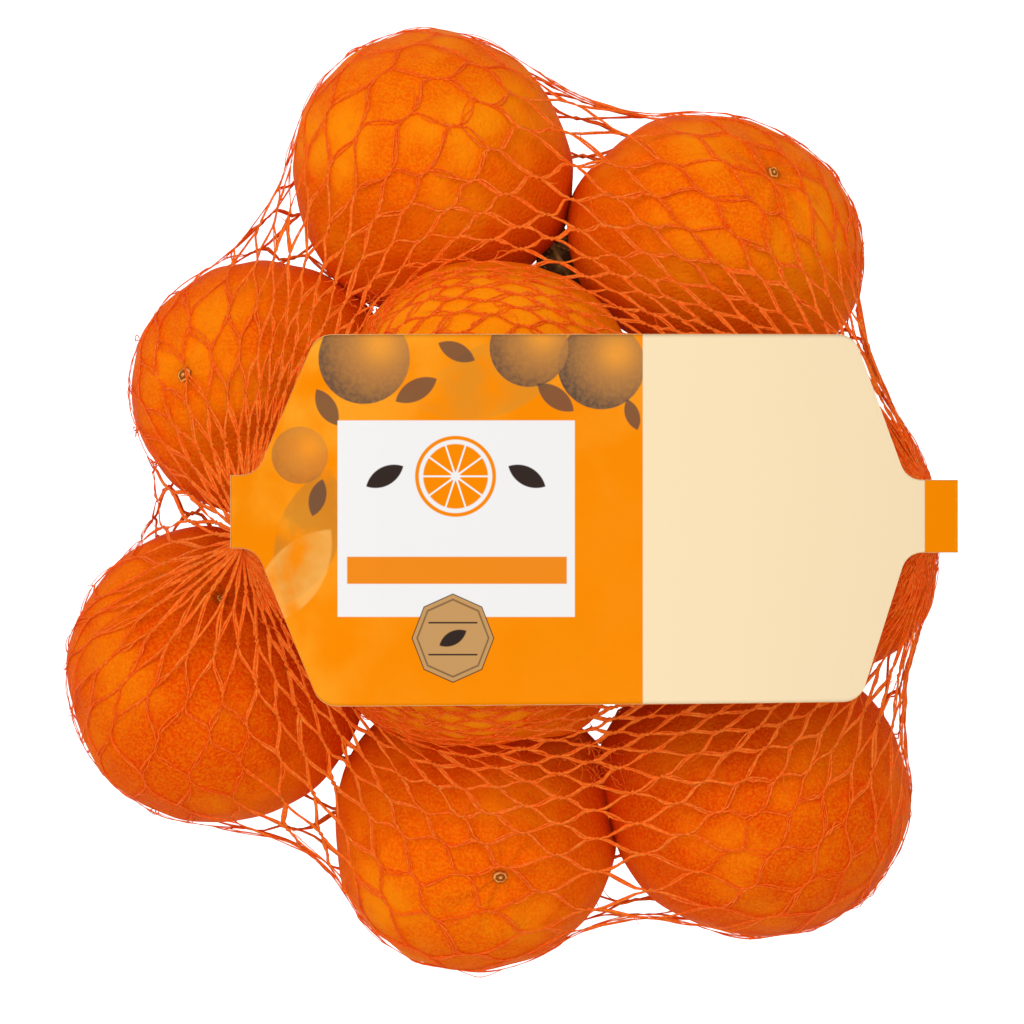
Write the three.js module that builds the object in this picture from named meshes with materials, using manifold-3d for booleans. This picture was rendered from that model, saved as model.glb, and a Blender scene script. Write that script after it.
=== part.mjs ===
// A knitted net of nine mandarins, closed at both ends under a flat printed label band.
// Millimetres, +Z up. The net lies on its back with the label on top; its tube runs along X.
import * as THREE from 'three';
import { mergeVertices } from 'three/addons/utils/BufferGeometryUtils.js';
import Module from 'manifold-3d';

const wasm = await Module();
wasm.setup();

// ---------------------------------------------------------------- driving dimensions

const FLOOR = 0;

// Each mandarin: place in plan, half sizes along its own X, Y and Z, turn about Z in degrees,
// and the direction in which its stem end looks. Those with a height lie on the others.
const MANDARINS = [
  { at: [-14.2, 64.6], half: [27.1, 26.3, 25.4], turn: 0, stem: [0.3, 0.6, -0.74] },
  { at: [40.6, 50.9], half: [28.9, 24.2, 26.4], turn: -12, stem: [0.405, 0.524, 0.749] },
  { at: [-47.5, 21.6], half: [25.2, 24.8, 22.4], turn: 0, stem: [-0.589, 0.11, 0.8] },
  { at: [-58.4, -34.3], half: [27.0, 28.7, 23.9], turn: 0, stem: [0.1, 0.51, 0.854] },
  { at: [-6, -67.0], half: [27.4, 24.8, 22.8], turn: 0, stem: [0.186, -0.276, 0.943] },
  { at: [49.6, -57.7], half: [29.6, 27.3, 26.4], turn: 0, stem: [0.2, -0.65, -0.73] },
  { at: [-1.9, 23.2], height: 50, half: [27.2, 22.6, 27.0], turn: 0, stem: [0.1, -0.95, -0.2] },
  { at: [-6.1, -23.4], height: 50, half: [29.7, 24.0, 28.0], turn: 0, stem: [0, 0.97, 0.1] },
  { at: [59.7, -6.2], height: 46, half: [23.7, 28.1, 27.0], turn: 0, stem: [-0.97, 0, 0.1] },
];
const SHOWN_STEM_ENDS = [1, 2, 3, 4]; // these mandarins turn their calyx up
const PRESSED_FLAT = 0.4; // depth by which the floor flattens a mandarin

// Hollows of the peel: depth as a share of the radius, spread in radians.
const STEM_HOLLOW = { depth: 0.045, spread: 0.55 };
const STEM_DIMPLE = { depth: 0.03, spread: 0.2 };
const TIP_HOLLOW = { depth: 0.02, spread: 0.35 };
const WAVES = 5;
const WAVE_HEIGHT = 0.005; // share of the radius, for each of the slow waves of a peel
const PEEL_SIDES = 18;
const PEEL_RINGS = 10;
const CONTACT_RADIUS = 4; // spot where two mandarins press together
const CONTACT_BITE = 1; // depth of that spot in each peel

const CALYX_RADIUS = 2.3;
const CALYX_NOTCH = 0.6; // inner radius of the star as a share of its outer one
const CALYX_HEIGHT = 1.4;

const NET_COLUMNS = 16; // knots round the tube
const NET_ROWS = 14; // knots from one gathered end to the other
const STRAND_HALF = [0.75, 0.5]; // half width and half thickness
const STRAND_LIFT = 0.9; // of a strand's middle line above the peel
const STRAND_SINK = 0.15; // depth by which the floor flattens a strand
const STRAND_REST = 7; // half a strand's length without tension
const KNOT_REACH = 0.7; // of the diamond where strands meet
const BEARING_RADIUS = 1.6; // spot where a mandarin bears on a knot
const RELAX_STEPS = 1500;
const RELAX_RATE = 1.4;

const GATHER_LEFT = [-52.4, -7, 59];
const GATHER_RIGHT = [81.9, -2.5, 63.5];
const GATHER_RING = [0, 5, 4.4]; // half sizes of the ring of strand ends
const GATHER_HALF = [3, 6.2, 5]; // half sizes of the fused bunch
const EGG = { centre: [1.4, 0, 36], half: [125, 115, 60] }; // wide start of the net

// Label band: plan outline and the arch that it follows along X.
const LABEL = {
  left: -52.1,
  right: 85.8,
  tabLeft: -43.9,
  tabRight: 79,
  bodyLeft: -33.9,
  bodyRight: 66.1,
  top: 31.2,
  bottom: -38.4,
  tabTop: 4.9,
  tabBottom: -9.8,
  corner: 4,
  thick: 0.6,
};
const LABEL_GAP = 0.5; // between the net and the label's underside
const ARCH = { crown: 79.7, flatFrom: -22.6, flatTo: 29.4, dropLeft: 15, dropRight: 10.5 };
const ARCH_STEPS = 24;

const SLIVER = 0.03; // edges finer than this are merged after joining
const REACH = 400; // of cutting blocks, past every side
const Y_AXIS = new THREE.Vector3(0, 1, 0);
const Z_AXIS = new THREE.Vector3(0, 0, 1);

// ---------------------------------------------------------------- mandarins

/** Unit vector of a three-number list. */
function unit(list) {
  return new THREE.Vector3(...list).normalize();
}

/** k-th of n directions spread evenly over a sphere by the golden angle. */
function spreadDirection(k, n) {
  const z = 1 - (2 * k + 1) / n;
  const angle = 2.39996 * k;
  const flat = Math.sqrt(1 - z * z);
  return new THREE.Vector3(flat * Math.cos(angle), flat * Math.sin(angle), z);
}

/** Gaussian hollow: depth at angle 0, fading over spread. */
function hollow({ depth, spread }, angle) {
  return depth * Math.exp(-((angle / spread) ** 2));
}

/** Distance from a mandarin's centre to its peel in direction d: an ellipsoid, pressed in at
 *  the stem end and the tip, with slow waves that differ from fruit to fruit. */
function peelRadius(index, d) {
  const { half, turn, stem } = MANDARINS[index];
  const own = d.clone().applyAxisAngle(Z_AXIS, -THREE.MathUtils.degToRad(turn));
  const ellipsoid = 1 / Math.hypot(own.x / half[0], own.y / half[1], own.z / half[2]);
  const fromStem = d.angleTo(unit(stem));
  let share = 1 - hollow(STEM_HOLLOW, fromStem) - hollow(STEM_DIMPLE, fromStem);
  share -= hollow(TIP_HOLLOW, Math.PI - fromStem);
  for (let k = 0; k < WAVES; k += 1) {
    const phase = (index + 1) * (k + 1) ** 2;
    share += WAVE_HEIGHT * Math.cos((2 + 0.7 * k) * d.dot(spreadDirection(k, WAVES)) + phase);
  }
  return ellipsoid * share;
}

/** Centre of a mandarin: at its stated height, or pressed lightly on the floor. */
function centreOf(index) {
  const { at, height } = MANDARINS[index];
  const down = new THREE.Vector3(0, 0, -1);
  return new THREE.Vector3(...at, height ?? FLOOR + peelRadius(index, down) - PRESSED_FLAT);
}

const CENTRES = MANDARINS.map((fruit, index) => centreOf(index));

/** Peel as a closed mesh whose poles lie on the stem axis. */
function mandarinGeometry(index) {
  const { stem } = MANDARINS[index];
  const geometry = new THREE.SphereGeometry(1, PEEL_SIDES, PEEL_RINGS);
  geometry.applyQuaternion(new THREE.Quaternion().setFromUnitVectors(Y_AXIS, unit(stem)));
  moveVertices(geometry, (p) => {
    const d = p.clone().normalize();
    return d.multiplyScalar(peelRadius(index, d)).add(CENTRES[index]);
  });
  return geometry;
}

/** Five-pointed calyx, standing a little proud of the stem end's hollow. */
function calyxGeometry(index) {
  const outline = new THREE.Shape();
  for (let k = 0; k < 10; k += 1) {
    const radius = CALYX_RADIUS * (k % 2 ? CALYX_NOTCH : 1);
    const angle = (Math.PI * k) / 5;
    outline[k ? 'lineTo' : 'moveTo'](radius * Math.cos(angle), radius * Math.sin(angle));
  }
  const geometry = new THREE.ExtrudeGeometry(outline, { depth: CALYX_HEIGHT, bevelEnabled: false });
  const axis = unit(MANDARINS[index].stem);
  const base = peelRadius(index, axis) - CALYX_HEIGHT / 2;
  geometry.translate(0, 0, base);
  geometry.applyQuaternion(new THREE.Quaternion().setFromUnitVectors(Z_AXIS, axis));
  geometry.translate(...CENTRES[index]);
  return geometry;
}

/** Pressed spot between a mandarin and the nearest one before it in the list. */
function contactGeometry(index) {
  const centre = CENTRES[index];
  const spots = CENTRES.slice(0, index).map((other, k) => {
    const away = other.clone().sub(centre);
    const distance = away.length();
    away.normalize();
    const from = peelRadius(index, away);
    const gap = distance - from - peelRadius(k, away.clone().negate());
    return { gap, away, spot: centre.clone().addScaledVector(away, from + gap / 2) };
  });
  const { gap, away, spot } = spots.sort((a, b) => a.gap - b.gap)[0];
  const length = Math.max(gap, 0) + 2 * CONTACT_BITE;
  const geometry = new THREE.CylinderGeometry(CONTACT_RADIUS, CONTACT_RADIUS, length, 6);
  geometry.applyQuaternion(new THREE.Quaternion().setFromUnitVectors(Y_AXIS, away));
  geometry.translate(...spot);
  return geometry;
}

// ---------------------------------------------------------------- net

/** The net's points and its threads: two zigzag threads start from each knot of the first row,
 *  one leaning each way, and neighbours share their knots. A loose point halves every strand. */
function netGraph() {
  const points = [];
  for (let row = 0; row < NET_ROWS; row += 1) {
    for (let column = 0; column < NET_COLUMNS; column += 1) {
      const round = (2 * Math.PI * (column + (row % 2) / 2)) / NET_COLUMNS;
      points.push(startPoint(row / (NET_ROWS - 1), round));
    }
  }
  const threads = [];
  for (let column = 0; column < NET_COLUMNS; column += 1) {
    for (const lean of [0, NET_COLUMNS - 1]) {
      const thread = [];
      for (let row = 0; row < NET_ROWS; row += 1) {
        const knot = row * NET_COLUMNS + ((column + (row % 2) * lean) % NET_COLUMNS);
        if (row > 0) {
          thread.push(points.length);
          points.push(points[thread[thread.length - 2]].clone().lerp(points[knot], 0.5));
        }
        thread.push(knot);
      }
      threads.push(thread);
    }
  }
  return { points, threads };
}

/** Start of a knot: on the ring of a gathered end, or on a wide egg round all the fruit. */
function startPoint(along, round) {
  if (along === 0) return ringPoint(GATHER_LEFT, GATHER_RING, Math.PI / 2, round);
  if (along === 1) return ringPoint(GATHER_RIGHT, GATHER_RING, Math.PI / 2, round);
  return ringPoint(EGG.centre, EGG.half, Math.PI * along, round);
}

/** Point of an ellipsoid at a polar angle from -X and an angle round X. */
function ringPoint(centre, half, polar, round) {
  return new THREE.Vector3(
    centre[0] - half[0] * Math.cos(polar),
    centre[1] + half[1] * Math.sin(polar) * Math.cos(round),
    centre[2] + half[2] * Math.sin(polar) * Math.sin(round),
  );
}

/** Pulls every strand tight and keeps it outside the peel, above the floor and below the label. */
function relaxNet({ points, threads }) {
  const ends = (NET_ROWS - 1) * NET_COLUMNS;
  const fixed = (i) => i < NET_COLUMNS || (i >= ends && i < ends + NET_COLUMNS);
  const pulls = points.map(() => new THREE.Vector3());
  const ties = points.map(() => 0);
  for (let step = 0; step < RELAX_STEPS; step += 1) {
    pulls.forEach((pull) => pull.set(0, 0, 0));
    ties.fill(0);
    for (const thread of threads) {
      for (let i = 1; i < thread.length; i += 1) {
        const [p, q] = [thread[i - 1], thread[i]];
        const span = points[q].clone().sub(points[p]);
        const spare = Math.max(0, 1 - STRAND_REST / Math.max(span.length(), 1e-6));
        pulls[p].addScaledVector(span, spare / 2);
        pulls[q].addScaledVector(span, -spare / 2);
        ties[p] += 1;
        ties[q] += 1;
      }
    }
    points.forEach((point, i) => {
      if (!fixed(i)) keepOutside(point.addScaledVector(pulls[i], RELAX_RATE / ties[i]));
    });
    for (const thread of threads) {
      for (let i = 1; i < thread.length; i += 1) {
        const pair = [thread[i - 1], thread[i]];
        const centre = points[pair[0]].clone().lerp(points[pair[1]], 0.5);
        const push = keepOutside(centre.clone()).sub(centre);
        pair.filter((k) => !fixed(k)).forEach((k) => points[k].add(push));
      }
    }
  }
}

/** Moves a point of the net out of the peel and between floor and label. */
function keepOutside(point) {
  CENTRES.forEach((centre, index) => {
    const away = point.clone().sub(centre);
    const distance = away.length();
    if (distance < Math.max(...MANDARINS[index].half) + 2) {
      away.divideScalar(distance);
      const limit = peelRadius(index, away) + STRAND_LIFT;
      if (distance < limit) point.addScaledVector(away, limit - distance);
    }
  });
  point.z = Math.max(point.z, FLOOR + STRAND_HALF[1] - STRAND_SINK);
  const within = (value, low, high) => value > low - KNOT_REACH && value < high + KNOT_REACH;
  if (within(point.x, LABEL.left, LABEL.right) && within(point.y, LABEL.bottom, LABEL.top)) {
    point.z = Math.min(point.z, archHeight(point.x) - STRAND_HALF[1] - LABEL_GAP);
  }
  return point;
}

/** Unit vectors at a net point: out of the net, and across it towards the next column. */
function netFrame(along, across) {
  const out = across.clone().cross(along).normalize();
  return { out, across: along.clone().cross(out).normalize() };
}

/** Sums of strand directions at every net point, and of the steps between columns at knots. */
function netDirections({ points, threads }) {
  const alongs = points.map(() => new THREE.Vector3());
  for (const thread of threads) {
    for (let i = 2; i < thread.length; i += 2) {
      const step = points[thread[i]].clone().sub(points[thread[i - 2]]);
      [i - 2, i - 1, i].forEach((k) => alongs[thread[k]].add(step));
    }
  }
  const acrosses = points.slice(0, NET_ROWS * NET_COLUMNS).map((point, knot) => {
    const column = knot % NET_COLUMNS;
    const next = knot - column + ((column + 1) % NET_COLUMNS);
    const before = knot - column + ((column + NET_COLUMNS - 1) % NET_COLUMNS);
    return points[next].clone().sub(points[before]);
  });
  return { alongs, acrosses };
}

/** The relaxed net as one closed lattice of three-sided strands. Every knot is a low pyramid
 *  on a diamond base, and a strand leaves each of its four faces. */
function latticeGeometry(net) {
  const { points, threads } = net;
  const { alongs, acrosses } = netDirections(net);
  const [EAST, NORTH, WEST, SOUTH, PEAK] = [0, 1, 2, 3, 4];
  const [wide, thick] = STRAND_HALF;
  const vertices = [];
  const faces = [];
  const place = (point, offsets) => offsets.forEach(([step, direction, out, up]) => {
    const corner = point.clone().addScaledVector(direction, step).addScaledVector(out, up);
    vertices.push(...corner.toArray());
  });
  const face = (knot, left, right) => [left, PEAK, right].map((corner) => 5 * knot + corner);
  const wall = (from, to) => from.forEach((a, k) => {
    const next = (k + 1) % 3;
    faces.push(a, from[next], to[next], a, to[next], to[k]);
  });

  acrosses.forEach((sideways, knot) => {
    const { out, across } = netFrame(alongs[knot], sideways);
    const along = alongs[knot].clone().normalize();
    place(points[knot], [
      [KNOT_REACH, across, out, -thick],
      [KNOT_REACH, along, out, -thick],
      [-KNOT_REACH, across, out, -thick],
      [-KNOT_REACH, along, out, -thick],
      [0, along, out, thick],
    ]);
    const [east, north, west, south] = [EAST, NORTH, WEST, SOUTH].map((k) => 5 * knot + k);
    faces.push(east, south, west, east, west, north);
    if (knot < NET_COLUMNS) {
      faces.push(...face(knot, WEST, SOUTH).reverse(), ...face(knot, SOUTH, EAST).reverse());
    }
    if (knot >= (NET_ROWS - 1) * NET_COLUMNS) {
      faces.push(...face(knot, WEST, NORTH), ...face(knot, NORTH, EAST));
    }
  });

  threads.forEach((thread, t) => {
    for (let i = 2; i < thread.length; i += 2) {
      const [from, middle, to] = [thread[i - 2], thread[i - 1], thread[i]];
      const eastward = (t % 2 === 0) === (i % 4 === 2);
      const { out, across } = netFrame(alongs[middle], acrosses[from].clone().add(acrosses[to]));
      const first = vertices.length / 3;
      place(points[middle], [
        [-wide, across, out, -thick],
        [0, across, out, thick],
        [wide, across, out, -thick],
      ]);
      const ring = [first, first + 1, first + 2];
      wall(eastward ? face(from, NORTH, EAST) : face(from, WEST, NORTH), ring);
      wall(ring, eastward ? face(to, WEST, SOUTH) : face(to, SOUTH, EAST));
    }
  });

  const geometry = new THREE.BufferGeometry();
  geometry.setAttribute('position', new THREE.Float32BufferAttribute(vertices, 3));
  geometry.setIndex(faces);
  return geometry;
}

/** Fused bunch where one end of the net is gathered. */
function gatherGeometry(centre) {
  const geometry = new THREE.SphereGeometry(1, 10, 4);
  geometry.scale(...GATHER_HALF);
  geometry.translate(...centre);
  return geometry;
}

/** Pressed spot where a mandarin bears on the knot nearest to its peel. */
function bearingGeometry(index, net) {
  const centre = CENTRES[index];
  const knots = net.points.slice(NET_COLUMNS, (NET_ROWS - 1) * NET_COLUMNS).map((point) => {
    const away = point.clone().sub(centre);
    const distance = away.length();
    return { point, gap: distance - peelRadius(index, away.divideScalar(distance)), away };
  });
  const { point, gap, away } = knots.sort((a, b) => a.gap - b.gap)[0];
  const geometry = new THREE.OctahedronGeometry(1);
  geometry.scale(BEARING_RADIUS, Math.max(gap, 0) + STRAND_HALF[1], BEARING_RADIUS);
  geometry.applyQuaternion(new THREE.Quaternion().setFromUnitVectors(Y_AXIS, away));
  geometry.translate(...point.clone().addScaledVector(away, -gap / 2));
  return geometry;
}

// ---------------------------------------------------------------- label

/** Height of the label's underside at x: flat over the crown, falling away as a parabola. */
function archHeight(x) {
  const left = Math.max(0, ARCH.flatFrom - x) / (ARCH.flatFrom - LABEL.left);
  const right = Math.max(0, x - ARCH.flatTo) / (LABEL.right - ARCH.flatTo);
  return ARCH.crown - ARCH.dropLeft * left ** 2 - ARCH.dropRight * right ** 2;
}

/** Plan of the label: a wide band with sloped shoulders and a narrow tab at each end. */
function labelShape() {
  const l = LABEL;
  const shape = new THREE.Shape();
  shape.moveTo(l.left, l.tabBottom);
  shape.lineTo(l.tabLeft, l.tabBottom);
  shape.lineTo(l.bodyLeft - l.corner / 2, l.bottom + l.corner);
  shape.quadraticCurveTo(l.bodyLeft, l.bottom, l.bodyLeft + l.corner, l.bottom);
  shape.lineTo(l.bodyRight - l.corner, l.bottom);
  shape.quadraticCurveTo(l.bodyRight, l.bottom, l.bodyRight + l.corner / 2, l.bottom + l.corner);
  shape.lineTo(l.tabRight, l.tabBottom);
  shape.lineTo(l.right, l.tabBottom);
  shape.lineTo(l.right, l.tabTop);
  shape.lineTo(l.tabRight, l.tabTop);
  shape.lineTo(l.bodyRight + l.corner / 2, l.top - l.corner);
  shape.quadraticCurveTo(l.bodyRight, l.top, l.bodyRight - l.corner, l.top);
  shape.lineTo(l.bodyLeft + l.corner, l.top);
  shape.quadraticCurveTo(l.bodyLeft, l.top, l.bodyLeft - l.corner / 2, l.top - l.corner);
  shape.lineTo(l.tabLeft, l.tabTop);
  shape.lineTo(l.left, l.tabTop);
  return shape;
}

// ---------------------------------------------------------------- solids

/** Replaces every vertex of a geometry by move(vertex). */
function moveVertices(geometry, move) {
  const position = geometry.attributes.position;
  for (let i = 0; i < position.count; i += 1) {
    const moved = move(new THREE.Vector3().fromBufferAttribute(position, i));
    position.setXYZ(i, moved.x, moved.y, moved.z);
  }
}

/** Closed solid of a geometry, ready to join or cut. */
function solid(geometry) {
  geometry.deleteAttribute('normal');
  geometry.deleteAttribute('uv');
  const merged = mergeVertices(geometry, 1e-4);
  return new wasm.Manifold(new wasm.Mesh({
    numProp: 3,
    vertProperties: Float32Array.from(merged.attributes.position.array),
    triVerts: Uint32Array.from(merged.index.array),
  }));
}

/** Geometry of a solid. */
function geometryOf(manifold) {
  const { vertProperties, triVerts } = manifold.getMesh();
  const geometry = new THREE.BufferGeometry();
  geometry.setAttribute('position', new THREE.BufferAttribute(vertProperties, 3));
  geometry.setIndex(new THREE.BufferAttribute(triVerts, 1));
  return geometry;
}

/** Fruit, calyxes, net and gathers joined into one body and cut level at the floor. */
function netOfMandarins() {
  const net = netGraph();
  relaxNet(net);
  const all = MANDARINS.map((fruit, index) => index);
  const pieces = [
    ...all.map(mandarinGeometry),
    ...all.slice(1).map(contactGeometry),
    ...SHOWN_STEM_ENDS.map(calyxGeometry),
    ...all.map((index) => bearingGeometry(index, net)),
    latticeGeometry(net),
    gatherGeometry(GATHER_LEFT),
    gatherGeometry(GATHER_RIGHT),
  ].map(solid);
  const below = new THREE.BoxGeometry(REACH, REACH, REACH);
  below.translate(0, 0, FLOOR - REACH / 2);
  const joined = pieces.reduce((whole, piece) => whole.add(piece)).subtract(solid(below));
  const bodies = joined.simplify(SLIVER).decompose();
  return bodies.sort((a, b) => b.volume() - a.volume())[0];
}

/** Label: the plan outline cut from a thin sheet that follows the arch. */
function labelBand() {
  const sheet = new THREE.Shape();
  const at = (i) => LABEL.left - 1 + ((LABEL.right - LABEL.left + 2) * i) / ARCH_STEPS;
  for (let i = 0; i <= ARCH_STEPS; i += 1) {
    sheet[i ? 'lineTo' : 'moveTo'](at(i), archHeight(at(i)));
  }
  for (let i = ARCH_STEPS; i >= 0; i -= 1) {
    sheet.lineTo(at(i), archHeight(at(i)) + LABEL.thick);
  }
  const wide = new THREE.ExtrudeGeometry(sheet, { depth: REACH, bevelEnabled: false });
  wide.translate(0, 0, -REACH / 2);
  wide.rotateX(Math.PI / 2);
  const plan = new THREE.ExtrudeGeometry(labelShape(), { depth: REACH, bevelEnabled: false });
  return solid(wide).intersect(solid(plan));
}

/** Named mesh of a solid with its own finish. */
function part(name, manifold, colour, roughness) {
  const material = new THREE.MeshStandardMaterial({ color: colour, roughness, metalness: 0 });
  const mesh = new THREE.Mesh(geometryOf(manifold), material);
  mesh.name = name;
  return mesh;
}

const model = new THREE.Group();
model.add(part('net_of_mandarins', netOfMandarins(), 0xe86410, 0.45));
model.add(part('label', labelBand(), 0xfa9604, 0.35));

export default model;
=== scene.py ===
import bpy
import numpy as np
from bpy.props import FloatProperty, FloatVectorProperty, IntProperty, PointerProperty
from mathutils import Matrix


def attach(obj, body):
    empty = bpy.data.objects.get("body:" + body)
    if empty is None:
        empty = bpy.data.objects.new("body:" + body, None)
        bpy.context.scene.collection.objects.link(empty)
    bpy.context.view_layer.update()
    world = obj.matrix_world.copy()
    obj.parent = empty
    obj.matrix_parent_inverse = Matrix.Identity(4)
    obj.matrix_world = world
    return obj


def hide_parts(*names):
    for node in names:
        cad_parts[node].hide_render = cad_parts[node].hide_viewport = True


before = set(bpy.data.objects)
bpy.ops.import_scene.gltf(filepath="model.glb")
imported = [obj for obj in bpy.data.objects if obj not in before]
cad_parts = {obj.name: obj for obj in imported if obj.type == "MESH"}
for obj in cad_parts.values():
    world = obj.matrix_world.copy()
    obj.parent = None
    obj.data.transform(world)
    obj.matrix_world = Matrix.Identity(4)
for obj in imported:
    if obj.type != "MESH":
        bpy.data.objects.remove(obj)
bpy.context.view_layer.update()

bl_info = {
    "name": "Net of mandarins",
    "version": (1, 0, 0),
    "blender": (4, 5, 0),
    "location": "3D View > Sidebar > Mandarins",
    "description": "Peel, stem buttons, knitted net, gathered ends and printed band label",
    "category": "Object",
}

MM = 0.001  # metres; every shape below is worked out in millimetres
TAU = 2 * np.pi
GOLDEN_ANGLE = 2.39996
UP = np.array([0.0, 0.0, 1.0])

# ------------------------------------------------------------------ sizes shared with the frame

# Each mandarin: place in plan, height of its centre (None on the floor), half sizes along its
# own X, Y and Z, turn about Z in degrees, direction of its stem end, and warmth of its peel
# from 0, deep orange, to 1, warm orange, and 2, yellow orange.
MANDARINS = (
    ((-14.2, 64.6), None, (27.1, 26.3, 25.4), 0, (0.3, 0.6, -0.74), 0.75),
    ((40.6, 50.9), None, (28.9, 24.2, 26.4), -12, (0.472, 0.507, 0.721), 0.8),
    ((-47.7, 21.6), None, (25.6, 24.8, 22.4), 0, (-0.652, 0.11, 0.75), 0.4),
    ((-58.4, -34.3), None, (27.0, 28.7, 23.9), 0, (0.155, 0.637, 0.755), 0.0),
    ((-6.0, -67.0), None, (27.4, 24.8, 22.8), 0, (0.238, -0.274, 0.932), 0.6),
    ((49.6, -57.7), None, (29.6, 27.3, 26.4), 0, (0.2, -0.65, -0.73), 0.0),
    ((-1.9, 23.2), 50.0, (27.2, 22.6, 27.0), 0, (0.1, -0.95, -0.2), 2.0),
    ((-6.1, -23.4), 50.0, (29.7, 24.0, 28.0), 0, (0.0, 0.97, 0.1), 0.7),
    ((59.7, -6.2), 46.0, (23.7, 28.1, 27.0), 0, (-0.97, 0.0, 0.1), 0.2),
)
PRESSED_FLAT = 0.4  # how far the floor flattens the lower mandarins
# Hollows of the peel: depth as a share of the radius, and spread in radians.
STEM_HOLLOW = (0.045, 0.55)
STEM_DIMPLE = (0.03, 0.2)
TIP_HOLLOW = (0.02, 0.35)
WAVES = 5
WAVE_HEIGHT = 0.005  # of each slow wave, as a share of the radius
# Sides of the mandarins squeezed out into the gaps between them: number of the mandarin from 0,
# direction in plan in degrees, height in millimetres and spread in radians.
BULGES = (
    (0, -21, 1.7, 0.35), (0, 240, 2.6, 0.4), (1, -38, 2.9, 0.42), (1, 140, -0.9, 0.4),
    (2, 39, 0.9, 0.4), (3, -35, 3.1, 0.5), (3, -8, 2.6, 0.3), (4, 139, 3.6, 0.37),
    (4, 112, 3.4, 0.35), (4, 44, 5.0, 0.37), (5, 156, 3.0, 0.35),
    (7, -42, 3.0, 0.3), (8, -50, 2.0, 0.4),
)

GATHER_LEFT = np.array([-49.6, -7.6, 60.5])
GATHER_RIGHT = np.array([81.9, -2.5, 63.5])
TEARS = np.array([[17.2, -50.6, 37.0], [-25.6, 37.2, 33.0]])  # where the net is torn, in gaps
# Where the net is drawn in between two mandarins: upright round posts that it stays out of, as
# place in plan and radius.
POSTS = (
    (30.7, 114.3, 39.6), (111.5, 40.4, 43.3), (107.0, -38.3, 30.0), (27.7, -111.8, 30.4),
    (-50.7, -87.6, 22.4), (-85.6, 1.4, 17.2), (-107.9, 94.7, 70.1),
)
LEAF_AND_GAP_SHADE = np.array([10.6, 46.8, 26.0])  # middle of the dry leaf, also painted shade over the gap between three mandarins
LEAF_AND_GAP_SHADE_THICKNESS = 0.35
LEAF_AND_GAP_SHADE_TURN = -62  # degrees about Z

LABEL = {"left": -52.1, "right": 85.8, "top": 31.2, "bottom": -38.4}
# Corners of the label's upper and lower edge, with the radius that rounds each.
LABEL_TOP = ((-47.0, 4.5, 4.6), (-35.4, 30.9, 4.4), (65.8, 31.0, 4.2), (75.9, 3.6, 4.2))
LABEL_BOTTOM = ((-47.1, -9.4, 4.6), (-34.7, -39.1, 4.6), (67.0, -38.3, 4.4), (76.0, -10.2, 4.0))
ARCH = {"crown": 79.7, "flat_from": -22.6, "flat_to": 29.4, "drop_left": 15.0, "drop_right": 10.5}

# ------------------------------------------------------------------ sizes of the finished pieces

NET_ROOM = 0.5  # by which the fruit stands off the floor, for the strands under it
BARE_FLAT = 0.35  # height over the floor of the fruit's flattened undersides
HEART = np.array([1.4, 0.0, 36.0])  # middle of the pack
START_EGG = np.array([115.0, 105.0, 55.0])  # half sizes of the egg that the net starts from


def unit(vectors):
    """Vectors divided by their lengths, along the last axis."""
    return vectors / np.maximum(np.linalg.norm(vectors, axis=-1, keepdims=True), 1e-12)


def spread_directions(count):
    """Directions spread evenly over a sphere: heights in equal steps, each turned by the golden
    angle."""
    k = np.arange(count)
    z = 1 - (2 * k + 1) / count
    flat = np.sqrt(1 - z * z)
    return np.stack([flat * np.cos(GOLDEN_ANGLE * k), flat * np.sin(GOLDEN_ANGLE * k), z], -1)


WAVE_DIRECTIONS = spread_directions(WAVES)
HALF = np.array([fruit[2] for fruit in MANDARINS])
TURN = np.radians([fruit[3] for fruit in MANDARINS])
STEM = unit(np.array([fruit[4] for fruit in MANDARINS]))


def hollow(shape, angle):
    """Gaussian hollow: its depth where the angle is 0, fading over its spread."""
    depth, spread = shape
    return depth * np.exp(-((angle / spread) ** 2))


def own_axes(index, vectors):
    """Vectors turned into a mandarin's own axes and divided by its half sizes."""
    c, s = np.cos(TURN[index]), np.sin(TURN[index])
    x, y, z = np.moveaxis(vectors, -1, 0)
    return np.stack([c * x + s * y, c * y - s * x, z], -1) / HALF[index]


def peel_radius(index, directions):
    """Distance from a mandarin's centre to its peel: an ellipsoid's radius, times one less the
    hollows at the stem end and the tip, plus five slow cosine waves and its bulges."""
    ellipsoid = 1 / np.linalg.norm(own_axes(index, directions), axis=-1)
    from_stem = np.arccos(np.clip(directions @ STEM[index], -1, 1))
    share = 1 - hollow(STEM_HOLLOW, from_stem) - hollow(STEM_DIMPLE, from_stem)
    share = share - hollow(TIP_HOLLOW, np.pi - from_stem)
    k = np.arange(WAVES)
    phase = (index + 1) * (k + 1) ** 2
    waves = np.cos((2 + 0.7 * k) * (directions @ WAVE_DIRECTIONS.T) + phase)
    radius = ellipsoid * (share + WAVE_HEIGHT * waves.sum(-1))
    for fruit, plan, height, spread in BULGES:
        if fruit == index:
            ahead = np.array([np.cos(np.radians(plan)), np.sin(np.radians(plan)), 0])
            angle = np.arccos(np.clip(directions @ ahead, -1, 1))
            radius = radius + hollow((height, spread), angle)
    return radius


def fruit_centres():
    """Centres of the mandarins, those on the floor pressed on it lightly, all raised by the room
    that the net takes under them."""
    heights = [
        fruit[1] if fruit[1] else peel_radius(i, -UP) - PRESSED_FLAT
        for i, fruit in enumerate(MANDARINS)
    ]
    return np.array([[*fruit[0], z + NET_ROOM] for fruit, z in zip(MANDARINS, heights)])


CENTRES = fruit_centres()


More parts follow.
